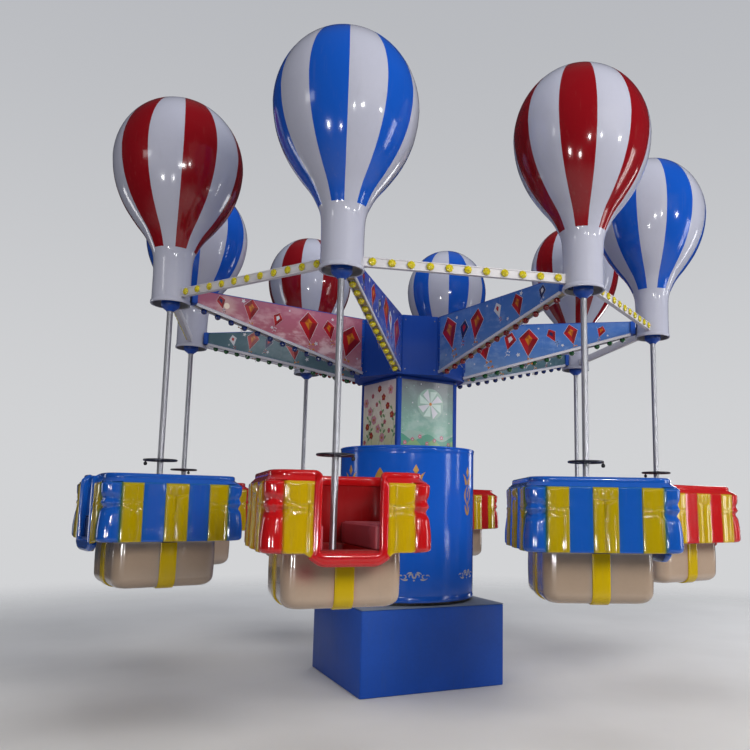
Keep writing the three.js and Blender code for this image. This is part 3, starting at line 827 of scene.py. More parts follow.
def addKite(bm, centre, size, lean, colours, matrix):
    turn = math.radians(lean)

    def at(x, y):
        return (centre[0] + size * (x * math.cos(turn) - y * math.sin(turn)),
                centre[1] + size * (x * math.sin(turn) + y * math.cos(turn)))

    tips = [(0, 0.42), (0.34, 0.06), (0, -0.58), (-0.34, 0.06)]
    addShape(bm, [at(1.05 * x, 1.04 * y) for x, y in tips[::-1]], "white", 0, matrix)
    for k in range(4):
        a, b = tips[k], tips[(k + 1) % 4]
        dark = colours[0] == "red" and k % 2
        addShape(bm, [at(*b), at(*a), at(0, 0.06)], "maroon" if dark else colours[0], 1, matrix)
        inner = [at(0.4 * b[0], 0.06 + 0.4 * (b[1] - 0.06)), at(0.4 * a[0], 0.06 + 0.4 * (a[1] - 0.06)),
                 at(0, 0.06)]
        addShape(bm, inner, "amber" if colours[1] == "gold" and k % 2 else colours[1], 2, matrix)
    tail = [(0.10 * math.sin(2.4 * k), -0.58 - 0.085 * k) for k in range(6)]
    for k in range(5):
        (x0, y0), (x1, y1) = tail[k], tail[k + 1]
        length = [at(x0 - 0.012, y0), at(x1 - 0.012, y1), at(x1 + 0.012, y1), at(x0 + 0.012, y0)]
        addShape(bm, length, "white", 0, matrix)
        if k % 2:
            for side in (-1, 1):
                bow = [at(x0, y0), at(x0 + side * 0.09, y0 + 0.045), at(x0 + side * 0.09, y0 - 0.045)]
                addShape(bm, bow[::side], colours[k % len(colours)], 1, matrix)


def addFlower(bm, centre, radius, colour, heart, matrix, petals=5, turn=0.0):
    for k in range(petals):
        angle = math.radians(turn + 360 * k / petals)
        middle = (centre[0] + radius * 0.62 * math.cos(angle), centre[1] + radius * 0.62 * math.sin(angle))
        addShape(bm, ringOutline(middle, radius * 0.4, 14), colour, 1, matrix)
    addShape(bm, ringOutline(centre, radius * 0.3, 14), heart, 2, matrix)


def addSprig(bm, start, end, bend, leaves, size, matrix):
    a, b = Vector(start), Vector(end)
    side = Vector((-(b - a).y, (b - a).x))
    line = [a.lerp(b, k / 10) + side * bend * math.sin(math.pi * k / 10) for k in range(11)]
    for k in range(10):
        step = (line[k + 1] - line[k]).normalized()
        out = Vector((-step.y, step.x)) * 0.0022
        addShape(bm, [tuple(line[k] - out), tuple(line[k + 1] - out), tuple(line[k + 1] + out),
                      tuple(line[k] + out)], "leaf", 0, matrix)
    for k in range(leaves):
        spot = line[2 + (7 * k) // max(leaves - 1, 1)]
        angle = math.atan2((b - a).y, (b - a).x) + (0.9 if k % 2 else -0.9)
        leaf = []
        for i in range(12):
            t = 2 * math.pi * i / 12
            x, y = size * (1 + math.cos(t)) * 0.5, size * 0.26 * math.sin(t)
            leaf.append((spot.x + x * math.cos(angle) - y * math.sin(angle),
                         spot.y + x * math.sin(angle) + y * math.cos(angle)))
        addShape(bm, leaf, "leaf", 0, matrix)


# turning column: a square sheet tube with corner posts, its pictures above the drum
column = {
    "half": 0.3625, "bottom": 0.8, "top": 2.9647, "post": 0.046, "skin": 0.006, "rail": 0.05, "lap": 0.002,
    "middleRail": (1.52, 1.56), "printLow": 2.262, "printHigh": 2.935, "printSink": 0.0045,
}


def addSheetUV(bm, faces, place):
    layer = bm.loops.layers.uv.verify()
    for face in faces:
        for loop in face.loops:
            loop[layer].uv = place(loop.vert.co)


def makeColumn():
    half, low, high, post = (column[k] for k in ("half", "bottom", "top", "post"))
    bm = bmesh.new()
    core, rail, lap = half - column["skin"], column["rail"], column["lap"]
    rails = ((column["printHigh"], high), (column["printLow"] - rail, column["printLow"]),
             column["middleRail"], (low, low + rail))
    addBlock(bm, (-core, -core, low), (core, core, high), matrix=aroundCentre(armTurn(1) + math.pi / 4))
    for k in range(4):
        turn = aroundCentre(armTurn(1) + math.pi / 4 + k * math.pi / 2)
        corner = half - post
        addBlock(bm, (corner, -half, low), (half, -corner, high), matrix=turn, bevel=0.007, steps=3)
        for z0, z1 in rails:
            addBlock(bm, (core - lap, -corner - lap, z0), (half - lap, corner + lap, z1), matrix=turn,
                     bevel=0.002)
        for side in (-1, 1):
            for z in (low + 0.03, sum(column["middleRail"]) / 2, column["printLow"] - rail / 2, high - 0.02):
                spot = turn @ Vector((half, side * (half - post / 2), z))
                addBolt(bm, spot, turn.to_3x3() @ Vector((1, 0, 0)), 0.0045, 1)
    putPiece(finishMesh(bm, "columnHousing", [coats["hubBlue"], coats["boltSteel"]]), "columnHousing",
             "rotor", instead=["column_housing"])
    for k in range(4):
        angle = armTurn(1) + math.pi / 4 + k * math.pi / 2
        foot = Vector((half - column["printSink"], 0, column["printLow"]))
        matrix = panelMatrix(aroundCentre(angle) @ foot, (-math.sin(angle), math.cos(angle), 0), (0, 0, 1))
        bm = bmesh.new()
        width, tall = half - post, column["printHigh"] - column["printLow"]
        sheet = [(-width, 0), (width, 0), (width, tall), (-width, tall)]
        board = addFaces(bm, [(x, y, z) for z in (0, -0.002) for x, y in sheet],
                         [(0, 1, 2, 3), (5, 4, 7, 6), (4, 5, 1, 0), (7, 3, 2, 6), (1, 5, 6, 2), (4, 0, 3, 7)])
        addSheetUV(bm, board, lambda p: (0.44 * (p.x + width) / (2 * width), p.y / tall))
        if k % 2:
            drawGarden(bm, width, tall)
        else:
            drawHills(bm, width, tall)
        bm.transform(matrix)
        name = f"columnPrint_{k + 1}"
        sky = skies["cream"] if k % 2 else skies["dusk"]
        putPiece(finishMesh(bm, name, [sky] + list(prints.values()), 20), name, "rotor")


def drawGarden(bm, width, tall):
    flat = Matrix.Identity(4)
    for i in range(5):
        x = -width * 0.78 + i * width * 0.39
        addSprig(bm, (x, 0.02), (x * 0.92 + 0.01, tall * (0.5 + 0.12 * (i % 3))), 0.12 if i % 2 else -0.12, 6,
                 0.05, flat)
    for i in range(18):
        x = width * (1.76 * (i * 0.618 % 1) - 0.88)
        y = tall * (0.1 + 0.047 * i)
        colour = ("pink", "rose", "red")[i % 3]
        radius = 0.026 + 0.011 * ((i * 5) % 3)
        addFlower(bm, (x, y), radius, colour, "gold", flat, petals=5 + i % 2, turn=37 * i)


def drawHills(bm, width, tall):
    flat = Matrix.Identity(4)
    ridges = (("mist", 0.2, 1.7), ("meadow", 0.15, 2.9), ("leaf", 0.07, 4.1))
    for layer, (colour, rise, wave) in enumerate(ridges):
        crest = []
        for k in range(25):
            x = -width + 2 * width * k / 24
            crest.append((x, tall * (rise + 0.05 * math.sin(wave * k / 6 + layer * 2))))
        addShape(bm, [(-width, 0.0)] + [(width, 0.0)] + crest[::-1], colour, layer * 0.5, flat)
    centre = (width * 0.1, tall * 0.66)
    addShape(bm, ringOutline(centre, tall * 0.235, 48), "mist", 0.6, flat)
    for k in range(8):                          # a large pale pinwheel over the hills
        a = math.radians(45 * k + 12)
        b = a + math.radians(34)
        reach = tall * 0.23
        blade = [centre, (centre[0] + reach * math.cos(a), centre[1] + reach * math.sin(a)),
                 (centre[0] + reach * 0.82 * math.cos(b), centre[1] + reach * 0.82 * math.sin(b))]
        addShape(bm, blade, "pearl" if k % 2 else "white", 1, flat)
    addShape(bm, ringOutline(centre, 0.016), "gold", 2, flat)
    for k in range(46):
        spot = (width * (1.9 * (k * 0.618 % 1) - 0.95), tall * (0.26 + 0.7 * (k * 0.3819 * 1.7 % 1)))
        if (Vector(spot) - Vector(centre)).length > tall * 0.26:
            addShape(bm, starOutline(spot, 0.0045 + 0.003 * (k % 3)), "mist" if k % 4 else "white", 1, flat)
    for k in range(7):
        spot = (-width * 0.85 + width * 0.28 * k, tall * (0.06 + 0.05 * (k % 3)))
        addFlower(bm, spot, 0.022, "pink", "white", flat, turn=20 * k)


# hub: an eight-sided drum of folded panels, one face between each pair of arms
hub = {
    "apothem": 0.55, "bottom": 2.965, "top": 3.56, "skin": 0.006, "bend": 0.014, "armRoom": 0.045,
    "lidShare": 0.74, "cap": 0.18, "capRise": 0.014,
}


def makeHub():
    low, high, flat, skin, bend = (hub[k] for k in ("bottom", "top", "apothem", "skin", "bend"))
    edge = flat * math.tan(math.pi / 8) - hub["armRoom"]
    bm = bmesh.new()
    corner = (flat - skin) / math.cos(math.pi / 8)
    angles = [armTurn(1) + k * math.pi / 4 for k in range(8)]
    ring = [(corner * math.cos(angle), corner * math.sin(angle)) for angle in angles]
    addPrism(bm, ring, low + 0.004, high - 0.004)
    for k in range(8):
        turn = aroundCentre(armTurn(1) + math.pi / 8 + k * math.pi / 4)
        outline = [(flat - 0.03, -edge), (flat - 0.012, -edge)]
        outline += [(flat - bend + bend * math.sin(t), -edge + bend * (1 - math.cos(t)))
                    for t in (0.3, 0.65, 1.0, 1.3, math.pi / 2)]
        outline += [(x, -y) for x, y in outline[::-1]]
        addPrism(bm, outline, low, high, matrix=turn, bevel=0.003, steps=2)
        for across in (-1, 1):
            for z in (low + 0.05, high - 0.05):
                addBolt(bm, turn @ Vector((flat, across * (edge - 0.035), z)),
                        turn.to_3x3() @ Vector((1, 0, 0)), 0.004, 1)
    lid = [(x * hub["lidShare"], y * hub["lidShare"]) for x, y in ring]
    addPrism(bm, lid, high - skin, high + skin, bevel=0.003)
    cap, rise = hub["cap"], hub["capRise"]
    addLathe(bm, [(0.0, high + rise), (cap - 0.01, high + rise), (cap - 0.002, high + rise - 0.002),
                  (cap, high + skin), (cap, high), (0.0, high)], 48)
    for k in range(16):                         # bolts on the cap and on the lid in turn
        angle = math.radians(22.5 * k)
        reach, lift = (0.155, rise) if k % 2 else (0.37, skin)
        addBolt(bm, (reach * math.cos(angle), reach * math.sin(angle), high + lift), (0, 0, 1), 0.009, 1)
    putPiece(finishMesh(bm, "hubHousing", [coats["hubBlue"], coats["boltSteel"]]), "hubHousing", "rotor",
             instead=["hub"])


makeColumn()
makeHub()
print("column and hub made")

# arms: a deep printed web that tapers to the tip, white channels along its lower edge, lamps under it
arm = {
    "root": 0.505, "start": 0.592, "tip": 2.285, "rootLow": 2.985, "tipLow": 3.43, "top": 3.56, "half": 0.034,
    "channel": 0.013, "lip": 0.017, "proud": 0.006, "lamps": 13, "lampStep": 0.131, "lampRadius": 0.027,
    "blockEnd": 2.33, "bossLow": 3.3915, "bossTop": 3.5,
    "skies": ("violet", "pink", "teal", "pink", "violet", "teal", "day", "day"),
    "lampColours": ("lampYellow", "lampBlue", "lampGreen", "lampRed", "lampYellow", "lampBlue", "lampGreen",
                    "lampRed"),
}
armSlope = math.atan((arm["tipLow"] - arm["rootLow"]) / (arm["tip"] - arm["root"]))
armSlant = Matrix.Translation((arm["root"], 0, arm["rootLow"])) @ Matrix.Rotation(-armSlope, 4, "Y")


def armLow(r):
    return arm["rootLow"] + (r - arm["root"]) * math.tan(armSlope)


lampPetals = 8                                  # scallops round a lamp's cap


def addLamp(bm, matrix, radius, tall, slot, socket):
    base = [(radius * 0.86, 0), (radius * 0.88, tall * 0.16), (radius * 0.6, tall * 0.24), (0, tall * 0.24)]
    addLathe(bm, base, 20, socket, matrix)

    def scallop(angle, r, z):
        return 1 + 0.07 * math.cos(lampPetals * angle) * min(r / radius, 1) ** 3

    shares = [(0, 0.12), (0.55, 0.12), (0.88, 0.18), (1, 0.34), (0.99, 0.5), (0.9, 0.66), (0.74, 0.78),
              (0.6, 0.82), (0.5, 0.92), (0.34, 0.99), (0, 1)]
    cap = [(radius * across, tall * up) for across, up in shares]
    addLathe(bm, cap, lampPetals * 3, slot, matrix, ripple=scallop)


def addHangingLamp(bm, matrix, radius, stem, slot, socket):
    addLathe(bm, [(radius * 0.72, 0), (radius * 0.74, stem * 0.3), (radius * 0.56, stem * 0.4),
                  (radius * 0.56, stem), (0, stem)], 16, socket, matrix)

    def scallop(angle, r, z):
        return 1 + 0.05 * math.cos(lampPetals * angle) * (r / radius) ** 2

    middle = stem + radius * 0.82
    ball = [(radius * math.cos(math.radians(a)), middle + radius * math.sin(math.radians(a)))
            for a in range(-50, 80, 16)]
    profile = [(0, ball[0][1])] + ball + [(0, middle + radius)]
    addLathe(bm, profile, lampPetals * 3, slot, matrix, ripple=scallop)


def armFrameMesh():
    a = arm
    bm = bmesh.new()
    half, start, tip, top = a["half"], a["start"] - 0.03, a["tip"], a["top"]
    side = [(start, armLow(start)), (tip, a["tipLow"]), (tip, top - 0.002), (start, top - 0.002)]
    upright = Matrix.Rotation(math.pi / 2, 4, "X")
    addPrism(bm, side, -half + 0.001, half - 0.001, 0, upright, bevel=0.002)
    for y in (-1, 1):                           # folded edge along the top
        addBlock(bm, (start, min(y * (half - 0.006), y * (half + 0.003)), top - 0.006),
                 (tip, max(y * (half - 0.006), y * (half + 0.003)), top), bevel=0.0015)
    run = (tip - a["root"]) / math.cos(armSlope)
    begin = (a["start"] - a["root"] - 0.012) / math.cos(armSlope)
    for y in (-1, 1):
        inner, outer = half - 0.001, half + a["proud"]
        outline = [(half - 0.003, 0.001), (half - 0.003, -a["lip"]), (outer, -a["lip"]),
                   (outer, a["channel"] - 0.004), (outer - 0.003, a["channel"]), (inner, a["channel"]),
                   (inner, 0.001)]
        points = [(x, y * p, q) for x in (begin, run) for p, q in outline]
        count = len(outline)
        faces = [tuple(range(count)), tuple(range(count, 2 * count))[::-1]]
        faces += [(i, i + count, (i + 1) % count + count, (i + 1) % count) for i in range(count)]
        made = addFaces(bm, points, faces, 1, armSlant)
        bmesh.ops.recalc_face_normals(bm, faces=made)
        softenEdges(bm, made, 0.0018, 2)
    addBlock(bm, (begin, -half + 0.004, -0.003), (run, half - 0.004, 0.004), 2, armSlant, 0.001)
    low, high, reach = a["bossLow"], a["bossTop"], layout["poleCircle"]
    addBlock(bm, (tip - 0.004, -0.055, a["tipLow"]), (a["blockEnd"], 0.055, top), 0, None, 0.004, 3)
    addBlock(bm, (a["blockEnd"] - 0.02, -0.028, a["tipLow"]), (reach, 0.028, high), 4, None, 0.002)
    addLathe(bm, [(0, low), (0.076, low), (0.079, low + 0.0035), (0.079, high - 0.003), (0.076, high),
                  (0, high)], 40, 5, Matrix.Translation((reach, 0, 0)))
    for y in (-1, 1):                           # bolted flange against the hub
        addBlock(bm, (start, min(y * half, y * (half + 0.004)), armLow(start) + 0.06),
                 (a["start"] + 0.012, max(y * half, y * (half + 0.004)), top - 0.014), 0, None, 0.0015)
        for k in range(4):
            z = armLow(start) + 0.1 + (top - armLow(start) - 0.15) * k / 3
            addBolt(bm, (a["start"] + 0.002, y * (half + 0.004), z), (0, y, 0), 0.0035, 3)
    return finishMesh(bm, "armFrame", [coats[k] for k in ("armTop", "trimWhite", "lampStrip", "boltSteel",
                                                          "darkPaintAndShade", "funnelBlue")])


def armLampMesh():
    bm = bmesh.new()
    run = (arm["tip"] - arm["root"]) / math.cos(armSlope)
    for k in range(arm["lamps"]):
        along = run - 0.09 - k * arm["lampStep"]
        matrix = armSlant @ Matrix.Translation((along, 0, -0.001)) @ Matrix.Rotation(math.pi, 4, "X")
        addHangingLamp(bm, matrix, arm["lampRadius"], 0.007, 0, 1)
    return finishMesh(bm, "armLamps", [coats["lampYellow"], coats["trimWhite"]], 40)


def drawArmPrint(bm, seed, matrix, way):
    spots = [(0.74, 0.30, 0.30, 14), (1.02, 0.33, 0.17, -18), (1.24, 0.36, 0.26, -8), (1.52, 0.44, 0.13, 22),
             (1.74, 0.44, 0.19, 10), (2.02, 0.49, 0.11, -16)]
    mixes = [("red", "gold"), ("navy", "white"), ("red", "white"), ("navy", "red"), ("red", "navy"),
             ("white", "red")]
    for k, (r, up, size, lean) in enumerate(spots):
        r += 0.05 * math.sin(seed * 1.9 + k)
        room = arm["top"] - armLow(r) - arm["channel"]
        size = min(1.12 * size, room * 0.86)
        z = armLow(r) + arm["channel"] + room * (0.6 + 0.06 * math.sin(seed + 2.1 * k))
        mix = mixes[(k + seed) % len(mixes)] if k % 2 else mixes[0]
        addKite(bm, (way * r, z), size, way * lean + 6 * math.sin(seed * k), mix, matrix)
    for k in range(7):
        r = 0.68 + 0.23 * k + 0.03 * math.sin(seed + 3 * k)
        room = arm["top"] - armLow(r) - arm["channel"]
        z = armLow(r) + arm["channel"] + room * (0.86 if k % 2 else 0.2)
        addShape(bm, starOutline((way * r, z), 0.013 + 0.006 * (k % 3), turn=90 + 10 * k), "white", 0, matrix)


def armPrintMesh(seed):
    bm = bmesh.new()
    start, tip, top = arm["start"], arm["tip"] - 0.002, arm["top"] - 0.0065
    lift = arm["channel"] / math.cos(armSlope) - 0.003
    for y in (-1, 1):
        low = arm["half"] - 0.001
        skin = arm["half"] + 0.0012
        shape = [(start, armLow(start) + lift), (tip, armLow(tip) + lift), (tip, top), (start, top)]
        points = [(x, y * d, z) for d in (low, skin) for x, z in shape]
        faces = [(4, 5, 6, 7), (3, 2, 1, 0), (0, 1, 5, 4), (1, 2, 6, 5), (2, 3, 7, 6), (3, 0, 4, 7)]
        made = addFaces(bm, points, faces)
        addSheetUV(bm, made, lambda p: ((p.x - start) / (tip - start),
                                        (p.z - arm["rootLow"]) / (top - arm["rootLow"])))
        matrix = panelMatrix((0, y * skin, 0), (-y, 0, 0), (0, 0, 1))
        drawArmPrint(bm, seed + (3 if y > 0 else 0), matrix, -y)
    return finishMesh(bm, "armPrint", [skies["day"]] + list(prints.values()), 20)


# lamp bars: straight channels from neck to neck, lamps on the outer face
lampBar = {
    "apothem": 2.30970, "half": 0.8, "depth": 0.02, "low": 3.438, "high": 3.511,
    "lamps": 11, "step": 0.147, "lampRadius": 0.0305, "lampHeight": 0.026,
}


def lampBarMesh():
    bar = lampBar
    bm = bmesh.new()
    x, depth, low, high = bar["apothem"], bar["depth"], bar["low"], bar["high"]
    addBlock(bm, (x - depth, -bar["half"], low), (x + depth - 0.002, bar["half"], high), bevel=0.004, steps=3)
    for z in (low, high - 0.009):               # folded lips along both edges of the lamp face
        addBlock(bm, (x + depth - 0.006, -bar["half"], z), (x + depth + 0.003, bar["half"], z + 0.009),
                 bevel=0.0015)
    for side in (-1, 1):
        edge = bar["half"] - 0.03
        addBlock(bm, (x - depth - 0.002, min(side * edge, side * (edge + 0.034)), low - 0.001),
                 (x + depth + 0.001, max(side * edge, side * (edge + 0.034)), high + 0.001), 0, None, 0.002)
    return finishMesh(bm, "lampBar", [coats["trimWhite"]])


def barLampMesh():
    bm = bmesh.new()
    for k in range(lampBar["lamps"]):
        y = (k - (lampBar["lamps"] - 1) / 2) * lampBar["step"]
        spot = (lampBar["apothem"] + lampBar["depth"] - 0.002, y, (lampBar["low"] + lampBar["high"]) / 2)
        outward = Matrix.Translation(spot) @ Matrix.Rotation(math.pi / 2, 4, "Y")
        addLamp(bm, outward, lampBar["lampRadius"], lampBar["lampHeight"], 0, 1)
    return finishMesh(bm, "barLamps", [coats["lampYellow"], coats["trimWhite"]], 40)


def makeArms():
    frameMesh, lampMesh, barMesh, barLamps = armFrameMesh(), armLampMesh(), lampBarMesh(), barLampMesh()
    for n in range(1, layout["arms"] + 1):
        turn = aroundCentre(armTurn(n))
        putPiece(frameMesh, f"armFrame_{n}", "rotor", turn, [f"arm_{n}"])
        sky = skies[arm["skies"][n - 1]]
        putPiece(armPrintMesh(n), f"armPrint_{n}", "rotor", turn, (),
                 [sky] + list(prints.values()))
        putPiece(lampMesh, f"armLamps_{n}", "rotor", turn, (),
                 [coats[arm["lampColours"][n - 1]], coats["trimWhite"]])
        bay = aroundCentre(armTurn(n) - math.pi / layout["arms"])
        putPiece(barMesh, f"lampBar_{n}", "rotor", bay, [f"lamp_bar_{n}"])
        putPiece(barLamps, f"barLamps_{n}", "rotor", bay, ())


makeArms()
print("arms and lamp bars made")

# balloons: glass-fibre shells, twelve painted gores above a plain neck with a rolled lip
balloon = {
    "profile": ((0.160, 3.65), (0.168, 3.80), (0.200, 3.895), (0.255, 3.995), (0.345, 4.110), (0.438, 4.250),
                (0.505, 4.400), (0.540, 4.540), (0.552, 4.663)),
    "centre": 4.663, "crown": 0.597, "radius": 0.552, "cut": 3.862, "lip": 0.168, "neck": 0.16, "low": 3.391,
    "straight": (3.5, 3.57), "gores": 12, "goreSteps": 10, "goreTurn": (3, 32, 47, 7, 27, 0, 56, 11),
}


def smoothProfile(points, steps):
    out = []
    last = len(points) - 1
    for i in range(last):
        a, b = points[i], points[i + 1]
        before, after = points[max(i - 1, 0)], points[min(i + 2, last)]
        for k in range(steps):
            t = k / steps
            row = []
            for p0, p1, p2, p3 in zip(before, a, b, after):
                row.append(0.5 * (2 * p1 + (p2 - p0) * t + (2 * p0 - 5 * p1 + 4 * p2 - p3) * t * t
                                  + (3 * p1 - p0 - 3 * p2 + p3) * t ** 3))
            out.append(tuple(row))
    return out + [points[-1]]


def balloonMesh():
    b = balloon
    low, lip, neck = b["low"], b["lip"], b["neck"]
    inside = [(0, low + 0.05), (neck - 0.03, low + 0.05), (neck - 0.018, low + 0.046),
              (neck - 0.013, low + 0.036), (neck - 0.012, low + 0.006)]
    rolled = [(neck - 0.009, low + 0.001), (neck - 0.004, low), (lip - 0.003, low), (lip, low + 0.004),
              (lip, low + 0.022), (lip - 0.0025, low + 0.0285), (neck + 0.001, low + 0.034),
              (neck, low + 0.04)]
    straight = [(neck, z) for z in b["straight"]]
    shoulder = smoothProfile(b["profile"], 5)
    near = min(range(len(shoulder)), key=lambda i: abs(shoulder[i][1] - b["cut"]))
    shoulder[near] = (shoulder[near][0], b["cut"])
    crown = [(b["radius"] * math.cos(math.radians(a)), b["centre"] + b["crown"] * math.sin(math.radians(a)))
             for a in range(5, 90, 5)]
    profile = inside + rolled + straight + shoulder + crown + [(0, b["centre"] + b["crown"])]
    steps = b["gores"] * b["goreSteps"]

    def slotFor(i, k):
        if i < len(inside):
            return 2
        z = (profile[i][1] + profile[i + 1][1]) / 2
        return 1 if z > b["cut"] and (k // b["goreSteps"]) % 2 == 0 else 0

    def gore(angle, r, z):
        if z < b["cut"] + 0.01:
            return 1
        across = (angle * b["gores"] / (2 * math.pi)) % 1
        rise = min((z - b["cut"]) / 0.4, 1)
        return 1 - 0.0035 * rise * math.exp(-(min(across, 1 - across) / 0.06) ** 2)

    bm = bmesh.new()
    addLathe(bm, profile, steps, slotFor=slotFor, ripple=gore)
    return finishMesh(bm, "balloon", [coats["neckWhite"], coats["balloonBlue"], coats["neckInside"]], 40)


def makeBalloons():
    mesh = balloonMesh()
    for n in range(1, layout["arms"] + 1):
        start = armTurn(n) + math.radians(balloon["goreTurn"][n - 1] - 180 / balloon["gores"])
        colour, slot = ("balloonBlue", "blue_balloon") if n % 2 else ("balloonRed", "red_balloon")
        putPiece(mesh, f"balloonShell_{n}", "rotor", poleSpot(n, start), [f"balloon_{n}"],
                 [coats["neckWhite"], coats[colour], coats["neckInside"]])


# poles: polished tube, blue funnel under the neck, hand wheel for turning the gondola, foot disc
pole = {
    "radius": 0.025, "top": 3.391, "foot": 1.108, "disc": 0.08, "discHeight": 0.0197, "collar": 0.031,
    "funnelHeight": 0.06, "wheel": 2.037, "reach": 0.13, "rim": 0.009, "boss": 0.038, "bossHalf": 0.014,
    "spoke": (0.007, 0.004), "knobs": (-35, 150, 60, -80, 20, 200, 100, -35),
}


def poleMesh():
    r, top, foot, disc, collar = (pole[k] for k in ("radius", "top", "foot", "disc", "collar"))
    discTop, end = foot + pole["discHeight"], top - pole["funnelHeight"]
    bm = bmesh.new()
    addLathe(bm, [(0, foot), (disc - 0.003, foot), (disc, foot + 0.003), (disc, discTop - 0.0032),
                  (disc - 0.003, discTop), (collar + 0.003, discTop), (collar, foot + 0.03),
                  (collar, foot + 0.055), (r + 0.001, foot + 0.06), (r, foot + 0.062), (r, end + 0.01),
                  (0, end + 0.01)], 40, 0)
    addLathe(bm, [(0, top), (0.077, top), (0.08, top - 0.002), (0.0795, top - 0.007), (0.074, top - 0.019),
                  (0.064, top - 0.031), (0.052, top - 0.041), (0.042, top - 0.048), (0.036, top - 0.052),
                  (0.034, end + 0.002), (0.031, end), (0, end)], 48, 1)
    z = pole["wheel"]
    rim = [(pole["reach"] + pole["rim"] * math.cos(a), z + pole["rim"] * math.sin(a))
           for a in [2 * math.pi * k / 12 for k in range(12)]]
    addLathe(bm, rim, 64, 2, closed=True)
    boss, tall = pole["boss"], pole["bossHalf"]
    addLathe(bm, [(r, z - tall), (boss - 0.002, z - tall), (boss, z - tall + 0.003), (boss, z + tall - 0.003),
                  (boss - 0.002, z + tall), (r, z + tall)], 32, 2, closed=True)
    wide, thick = pole["spoke"]
    for k in range(3):
        turn = aroundCentre(2 * math.pi * k / 3)
        addBlock(bm, (boss - 0.004, -wide, z - thick), (pole["reach"], wide, z + thick), 2, turn, 0.002)
        addBolt(bm, turn @ Vector((boss, 0, z)), turn @ Vector((1, 0, 0)), 0.004, 2)
    return finishMesh(bm, "pole", [coats["stainless"], coats["funnelBlue"], coats["wheelSteel"]], 40)


def knobMesh():
    z, reach = pole["wheel"] - pole["rim"] * 0.6, pole["reach"]
    bm = bmesh.new()
    profile = [(0, z), (0.005, z), (0.005, z - 0.006), (0.011, z - 0.009), (0.015, z - 0.018),
               (0.0145, z - 0.028), (0.01, z - 0.036), (0, z - 0.038)]
    addLathe(bm, profile, 24, 0, Matrix.Translation((reach, 0, 0)))
    return finishMesh(bm, "wheelKnob", [coats["darkPaintAndShade"]], 40)


def makePoles():
    mesh, knob = poleMesh(), knobMesh()
    for n in range(1, layout["arms"] + 1):
        putPiece(mesh, f"poleTube_{n}", "rotor", poleSpot(n), [f"pole_{n}"])
        grip = poleSpot(n, math.radians(pole["knobs"][n - 1]))
        putPiece(knob, f"wheelKnob_{n}", "rotor", grip, ())


makeBalloons()
makePoles()
print("balloons and poles made")

# gondola: a gift-box tub below and a banded skirt above it, with the doorway along its own +X
tub = {
    "half": 0.395, "corner": 0.095, "low": 1.02, "round": 0.08, "eave": 1.362, "shelf": 1.3835,
    "sill": 1.40, "shelfHalf": 0.534, "well": (0.381, 0.17), "floor": 1.15, "seat": 1.56,
    "ribbon": 0.065, "ribbonLift": 0.0085,
    "smudges": ((0.8, -0.25, 0.07, 1.265, 0.06), (0.35, 0.19, 0.09, 1.29, 0.05)),
}
skirt = {
    "half": 0.545, "flat": 0.46, "steady": 0.25, "top": 1.834, "low": 1.385, "proud": 0.008,
    "edges": (0.09, 0.253, 0.415), "doorEdge": 0.43, "door": 0.236,
}


def bell(x, width):
    return math.exp(-(x / width) ** 2)


def ease(x):
    x = min(max(x, 0), 1)
    return x * x * (3 - 2 * x)


# stations round a rounded square: ("flat", side, place along it) or ("arc", side, angle past its end);
# flat places beyond steady are drawn in or out so that the last one meets the arc
def stationPoint(station, half, corner, z, out, reach, steady=0.0):
    kind, side, value = station
    hx, hy = half if isinstance(half, tuple) else (half, half)
    ahead, along = (hx, hy) if side % 2 == 0 else (hy, hx)
    angle = side * math.pi / 2
    normal = Vector((math.cos(angle), math.sin(angle)))
    tangent = Vector((-normal.y, normal.x))
    if kind == "flat":
        far = abs(value)
        if far > steady:
            far = steady + (far - steady) * (along - corner - steady) / (reach - steady)
        spot = normal * (ahead + out) + tangent * math.copysign(far, value)
    else:
        way = normal * math.cos(value) + tangent * math.sin(value)
        spot = normal * (ahead - corner) + tangent * (along - corner) + way * (corner + out)
    return (spot.x, spot.y, z)


def flatStations(side, places):
    return [("flat", side, u) for u in places]


def arcStations(side, count):
    return [("arc", side, math.pi / 2 * k / count) for k in range(1, count)]


# stations stand close together at a band's edge and far apart on the plain parts
def bandPlaces(edges, start, end):
    marks = {start, end}
    for edge in edges:
        for sign in (-1, 1):
            marks |= {sign * edge + d for d in (-0.007, -0.0035, -0.0005, 0.0005, 0.0035, 0.007)
                      if start <= sign * edge + d <= end}
    marks = sorted(marks)
    places = []
    for a, b in zip(marks, marks[1:]):
        plain = len(edges) == 3 and edges[0] < abs(a + b) / 2 < edges[1]
        count = max(1, round((b - a) / (0.036 if plain else 0.0103)))
        places += [a + (b - a) * k / count for k in range(count)]
    return places + [end]


def skirtStations():
    flat, door, doorEdge = skirt["flat"], skirt["door"], skirt["doorEdge"]
    out = flatStations(0, bandPlaces((doorEdge,), door, flat)) + arcStations(0, 14)
    for side in (1, 2, 3):
        out += flatStations(side, bandPlaces(skirt["edges"], -flat, flat)) + arcStations(side, 14)
    return out + flatStations(0, bandPlaces((doorEdge,), -flat, -door))


def bandOf(station):
    kind, side, value = station
    if kind == "arc":
        return "corner", 0.0
    u = abs(value)
    if side == 0:
        return ("corner", 0.0) if u > skirt["doorEdge"] else ("outer", skirt["doorEdge"] - u)
    centre, inner, outer = skirt["edges"]
    if u > outer:
        return "corner", 0.0
    if u > inner:
        return "outer", min(outer - u, u - inner)
    return ("plain", min(inner - u, u - centre)) if u > centre else ("centre", centre - u)


def cornerDistance(station):
    kind, side, value = station
    radius = skirt["half"] - skirt["flat"]
    if kind == "arc":
        return abs(value - math.pi / 4) * radius
    return skirt["flat"] - abs(value) + radius * math.pi / 4


def columnShare(station):
    return 1 - ease((cornerDistance(station) - 0.085) / 0.05)


